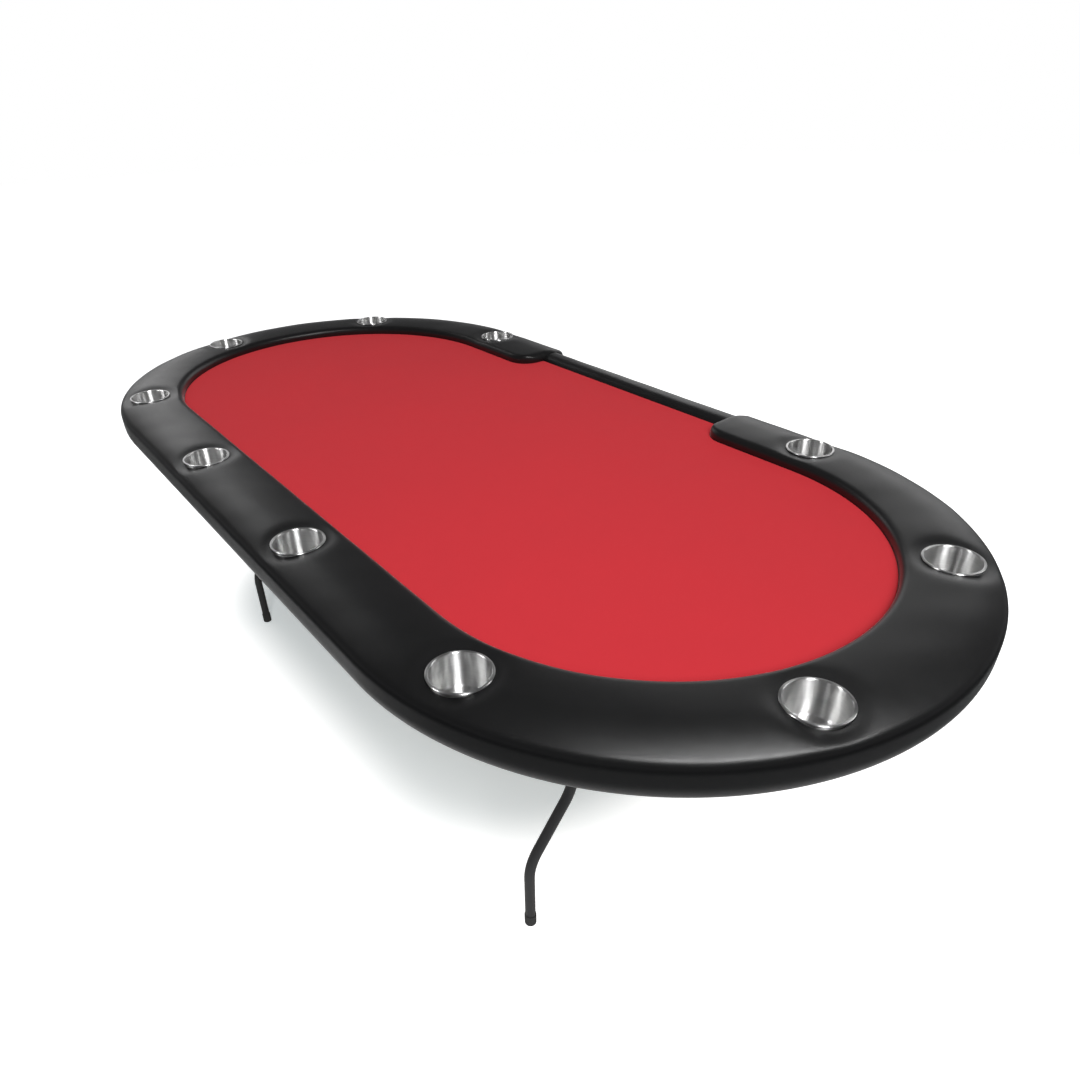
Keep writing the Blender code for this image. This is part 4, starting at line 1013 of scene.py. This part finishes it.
# ---------------------------------------------------------------- studio
FLOOR_REACH = 16.0
# painted shadow on the floor: the line under the table and the distances over which its dimmed glow fades
# back to white
SHADE_LOW = (-0.70, 0.0, 0.0)
SHADE_HIGH = (0.17, 0.0, 0.0)
SHADE_FULL = 0.31
SHADE_GONE = 0.58
# painted reflection in the vinyl: distances from the table over which the floor's colour for glossy rays goes
# from pale to dark
PAINTED_REFLECTION_FROM = 0.75
PAINTED_REFLECTION_TO = 1.50
PANEL_DISTANCE = 7.0
PANEL_HEIGHT = 5.2
PANEL_TALL = 6.8


def distance_from_line(tree, place, low, high):
    """Distance of a point on the floor from a line along X between two points: clamp, flatten, measure."""
    nearest = vector_maths(tree, "MINIMUM", vector_maths(tree, "MAXIMUM", place, low), high)
    onto_line = vector_maths(tree, "MULTIPLY", nearest, (1.0, 0.0, 0.0))
    apart = put(tree, "ShaderNodeVectorMath", {0: place, 1: onto_line}, operation="DISTANCE")
    return apart.outputs["Value"]


def build_floor():
    """Wide pale floor: white to the camera with a painted shadow under the table, dim in gloss, and clear
    from below.

    Its glow is a painted shadow: least under the table, and more by an ease between two distances from a line
    under it.
    In the gloss of the vinyl it shows a painted reflection: pale by the table and dark further out.
    """
    material, tree, shader, place = new_material("studio_floor", {
        "Roughness": 0.9, "Specular IOR Level": 0.0, "Emission Strength": 1.0})
    tone = use_group(tree, HANDLING, {"Vector": place, "Size": 0.7, "Low": 0.85, "High": 0.95})
    colour = mixed_colour(tree, tone["Mask"], (0.885, 0.905, 0.905, 1.0), (0.90, 0.92, 0.92, 1.0))
    tree.links.new(colour, shader.inputs["Base Color"])
    from_shade = distance_from_line(tree, place, SHADE_LOW, SHADE_HIGH)
    # painted shadow: the glow is dimmed to a blue-grey under the table, drawn in the floor's colour and not
    # cast by the table
    painted_shadow_fade = ranged(tree, from_shade, SHADE_FULL, SHADE_GONE, ease="SMOOTHSTEP")
    painted_shadow_glow = mixed_colour(tree, painted_shadow_fade, (0.30, 0.335, 0.345, 1.0), (1.0, 1.0, 1.0, 1.0))
    tree.links.new(painted_shadow_glow, shader.inputs["Emission Color"])
    # painted reflection: the floor's colour for glossy rays alone is pale near the table and dark further
    # out, which sets how bright the vinyl's sides look
    from_table = distance_from_line(tree, place, (-STRAIGHT_HALF, 0.0, 0.0), (STRAIGHT_HALF, 0.0, 0.0))
    spread = ranged(tree, from_table, PAINTED_REFLECTION_FROM, PAINTED_REFLECTION_TO, ease="SMOOTHSTEP")
    painted_reflection_tone = mixed_colour(tree, spread, (0.64, 0.645, 0.65, 1.0), (0.06, 0.062, 0.064, 1.0))
    glossy = put(tree, "ShaderNodeBsdfDiffuse", {"Color": painted_reflection_tone})
    bounce = put(tree, "ShaderNodeBsdfDiffuse", {"Color": (0.62, 0.65, 0.67, 1.0)})
    clear = put(tree, "ShaderNodeBsdfTransparent", {})
    ray = put(tree, "ShaderNodeLightPath", {}).outputs
    unseen = mixed_shader(tree, ray["Is Glossy Ray"], bounce.outputs[0], glossy.outputs[0])
    above = mixed_shader(tree, ray["Is Camera Ray"], unseen, shader.outputs[0])
    below = put(tree, "ShaderNodeNewGeometry", {}).outputs["Backfacing"]
    output = next(item for item in tree.nodes if item.type == "OUTPUT_MATERIAL")
    tree.links.new(mixed_shader(tree, below, above, clear.outputs[0]), output.inputs["Surface"])
    reach = np.geomspace(1.0, FLOOR_REACH, 10)
    angle = np.linspace(0.0, math.tau, 96, endpoint=False)
    ring = np.stack([np.outer(reach, np.cos(angle)), np.outer(reach, np.sin(angle)),
                     np.zeros((len(reach), len(angle)))], axis=-1)
    verts = np.concatenate([ring.reshape(-1, 3), [[0.0, 0.0, 0.0]]])
    faces = [face[::-1] for face in grid_faces(len(reach), len(angle), wrap_columns=True)]
    faces += [[len(verts) - 1, k, (k + 1) % len(angle)] for k in range(len(angle))]
    mesh = bpy.data.meshes.new("studio_floor")
    mesh.from_pydata(verts.tolist(), [], faces)
    mesh.materials.append(material)
    floor = bpy.data.objects.new("studio_floor", mesh)
    bpy.context.scene.collection.objects.link(floor)


def softbox(name, place, aim, size, power):
    """Area light at a place, turned to face a point."""
    lamp = bpy.data.lights.new(name, "AREA")
    lamp.shape = "RECTANGLE"
    lamp.size, lamp.size_y = size
    lamp.energy = power
    item = bpy.data.objects.new(name, lamp)
    item.location = place
    item.rotation_euler = (Vector(place) - Vector(aim)).to_track_quat("Z", "Y").to_euler()
    bpy.context.scene.collection.objects.link(item)
    return item


def light_only(panel, name, pieces):
    """Let a light reach only these pieces."""
    reached = bpy.data.collections.new(name)
    for piece in pieces:
        reached.objects.link(piece)
    panel.light_linking.receiver_collection = reached


def build_lights(cups, pads):
    """Key and fill light the cloth and floor. Two boxes show as soft reflections in all that is glossy.

    A strip overhead draws the line along the crest of the pads alone, and three tall panels round the
    table draw the upright streaks in the cups alone.
    """
    for name, place, size, power in (("key_softbox", (3.0, -1.5, 3.2), (2.0, 2.0), 134),
                                     ("fill_softbox", (-0.4, 0.2, 3.6), (5.0, 4.0), 60)):
        softbox(name, place, (0.0, 0.0, 0.7), size, power).visible_glossy = False
    for name, place, size, power in (("far_box", (-1.9, 5.0, 2.2), (4.6, 2.6), 34),
                                     ("left_box", (-5.8, 0.25, 2.9), (1.7, 3.4), 20)):
        softbox(name, place, (0.6, 0.0, 0.75), size, power).visible_diffuse = False
    strip = softbox("overhead_strip", (1.58, 0.24, 2.9), (1.58, 0.24, 0.0), (1.45, 0.26), 48)
    strip.rotation_euler = (0.0, 0.0, math.radians(57))
    strip.visible_diffuse = False
    light_only(strip, "pads_only", pads)
    for name, heading, width, power in (("wide_panel", -22, 2.1, 800), ("thin_panel", -113, 0.75, 420),
                                        ("back_panel", 62, 0.9, 150)):
        turn = math.radians(heading)
        place = (PANEL_DISTANCE * math.cos(turn), PANEL_DISTANCE * math.sin(turn), PANEL_HEIGHT)
        panel = softbox(name, place, (0.0, 0.0, 0.8), (width, PANEL_TALL), power)
        light_only(panel, name + "_steel", cups)


def build_world():
    """White to the camera. As light it is a dim room: brightest just above the horizon, dark overhead."""
    world = bpy.data.worlds.new("pale_studio")
    bpy.context.scene.world = world
    world.use_nodes = True
    tree = world.node_tree
    tree.nodes.clear()
    direction = put(tree, "ShaderNodeTexCoord", {}).outputs["Generated"]
    axes = put(tree, "ShaderNodeSeparateXYZ", {0: direction})
    ramp = put(tree, "ShaderNodeValToRGB", {0: axes.outputs["Z"]})
    ramp.color_ramp.interpolation = "EASE"
    stops = ((0.0, 0.28), (0.16, 0.16), (0.45, 0.10), (1.0, 0.10))
    while len(ramp.color_ramp.elements) < len(stops):
        ramp.color_ramp.elements.new(0.5)
    for element, (position, level) in zip(ramp.color_ramp.elements, stops):
        element.position = position
        element.color = (level, level, level * 1.02, 1.0)
    room = put(tree, "ShaderNodeBackground", {"Color": ramp.outputs["Color"], "Strength": 1.0})
    white = put(tree, "ShaderNodeBackground", {"Color": (1.0, 1.0, 1.0, 1.0), "Strength": 1.0})
    seen = put(tree, "ShaderNodeLightPath", {}).outputs["Is Camera Ray"]
    both = mixed_shader(tree, seen, room.outputs[0], white.outputs[0])
    put(tree, "ShaderNodeOutputWorld", {"Surface": both})


AIM = Vector((0.6403, -0.3227, CLOTH_TOP))
CAMERA_AZIMUTH = math.radians(54.22)
CAMERA_ELEVATION = math.radians(34.05)
CAMERA_ROLL = math.radians(-1.903)
CAMERA_DISTANCE = 1.3265
CAMERA_LENS = 26.642
SENSOR_WIDTH = 36.0
LENS_SHIFT = (0.02347, 0.05863)


def build_camera():
    """Camera on a short lens above the table's right front, aimed at a point on the cloth."""
    back = Vector((math.sin(CAMERA_AZIMUTH) * math.cos(CAMERA_ELEVATION),
                   -math.cos(CAMERA_AZIMUTH) * math.cos(CAMERA_ELEVATION), math.sin(CAMERA_ELEVATION)))
    right = (-back).cross(Vector((0.0, 0.0, 1.0))).normalized()
    up = right.cross(-back)
    across = right * math.cos(CAMERA_ROLL) + up * math.sin(CAMERA_ROLL)
    upward = up * math.cos(CAMERA_ROLL) - right * math.sin(CAMERA_ROLL)
    lens = bpy.data.cameras.new("camera")
    lens.lens = CAMERA_LENS
    lens.sensor_width = SENSOR_WIDTH
    lens.shift_x, lens.shift_y = LENS_SHIFT
    lens.clip_start = 0.05
    item = bpy.data.objects.new("camera", lens)
    turn = Matrix((across, upward, back)).transposed()
    item.matrix_world = Matrix.Translation(AIM + back * CAMERA_DISTANCE) @ turn.to_4x4()
    bpy.context.scene.collection.objects.link(item)
    bpy.context.scene.camera = item


def build_scene():
    """Dress the table, then set up the floor, lights, world and camera round it."""
    vinyl, steel, coat = black_vinyl(), brushed_steel(), powder_coat()
    rubber, zinc = black_rubber(), zinc_plate()
    long_grain, cross_grain = plywood("plywood_long_grain", True), plywood("plywood_cross_grain", False)
    pads = [build_armrest(vinyl), build_dealer_rail(vinyl)]
    build_cloth(red_cloth())
    cups = build_cups(steel)
    build_leg_frames(coat, rubber)
    build_straps(zinc)
    build_staples(zinc)
    dress_cad_nodes({
        "deck_panel": long_grain, "rail_base_front": long_grain, "rail_base_rear": long_grain,
        "rail_base": cross_grain, "hinge_board": cross_grain, "foam_underlay": underlay_foam(),
        "hinge_screw": zinc, "brace": zinc, "knuckle_pin": zinc})
    build_floor()
    build_lights(cups, pads)
    build_world()
    build_camera()
    bpy.context.scene.view_settings.view_transform = "Standard"


build_scene()
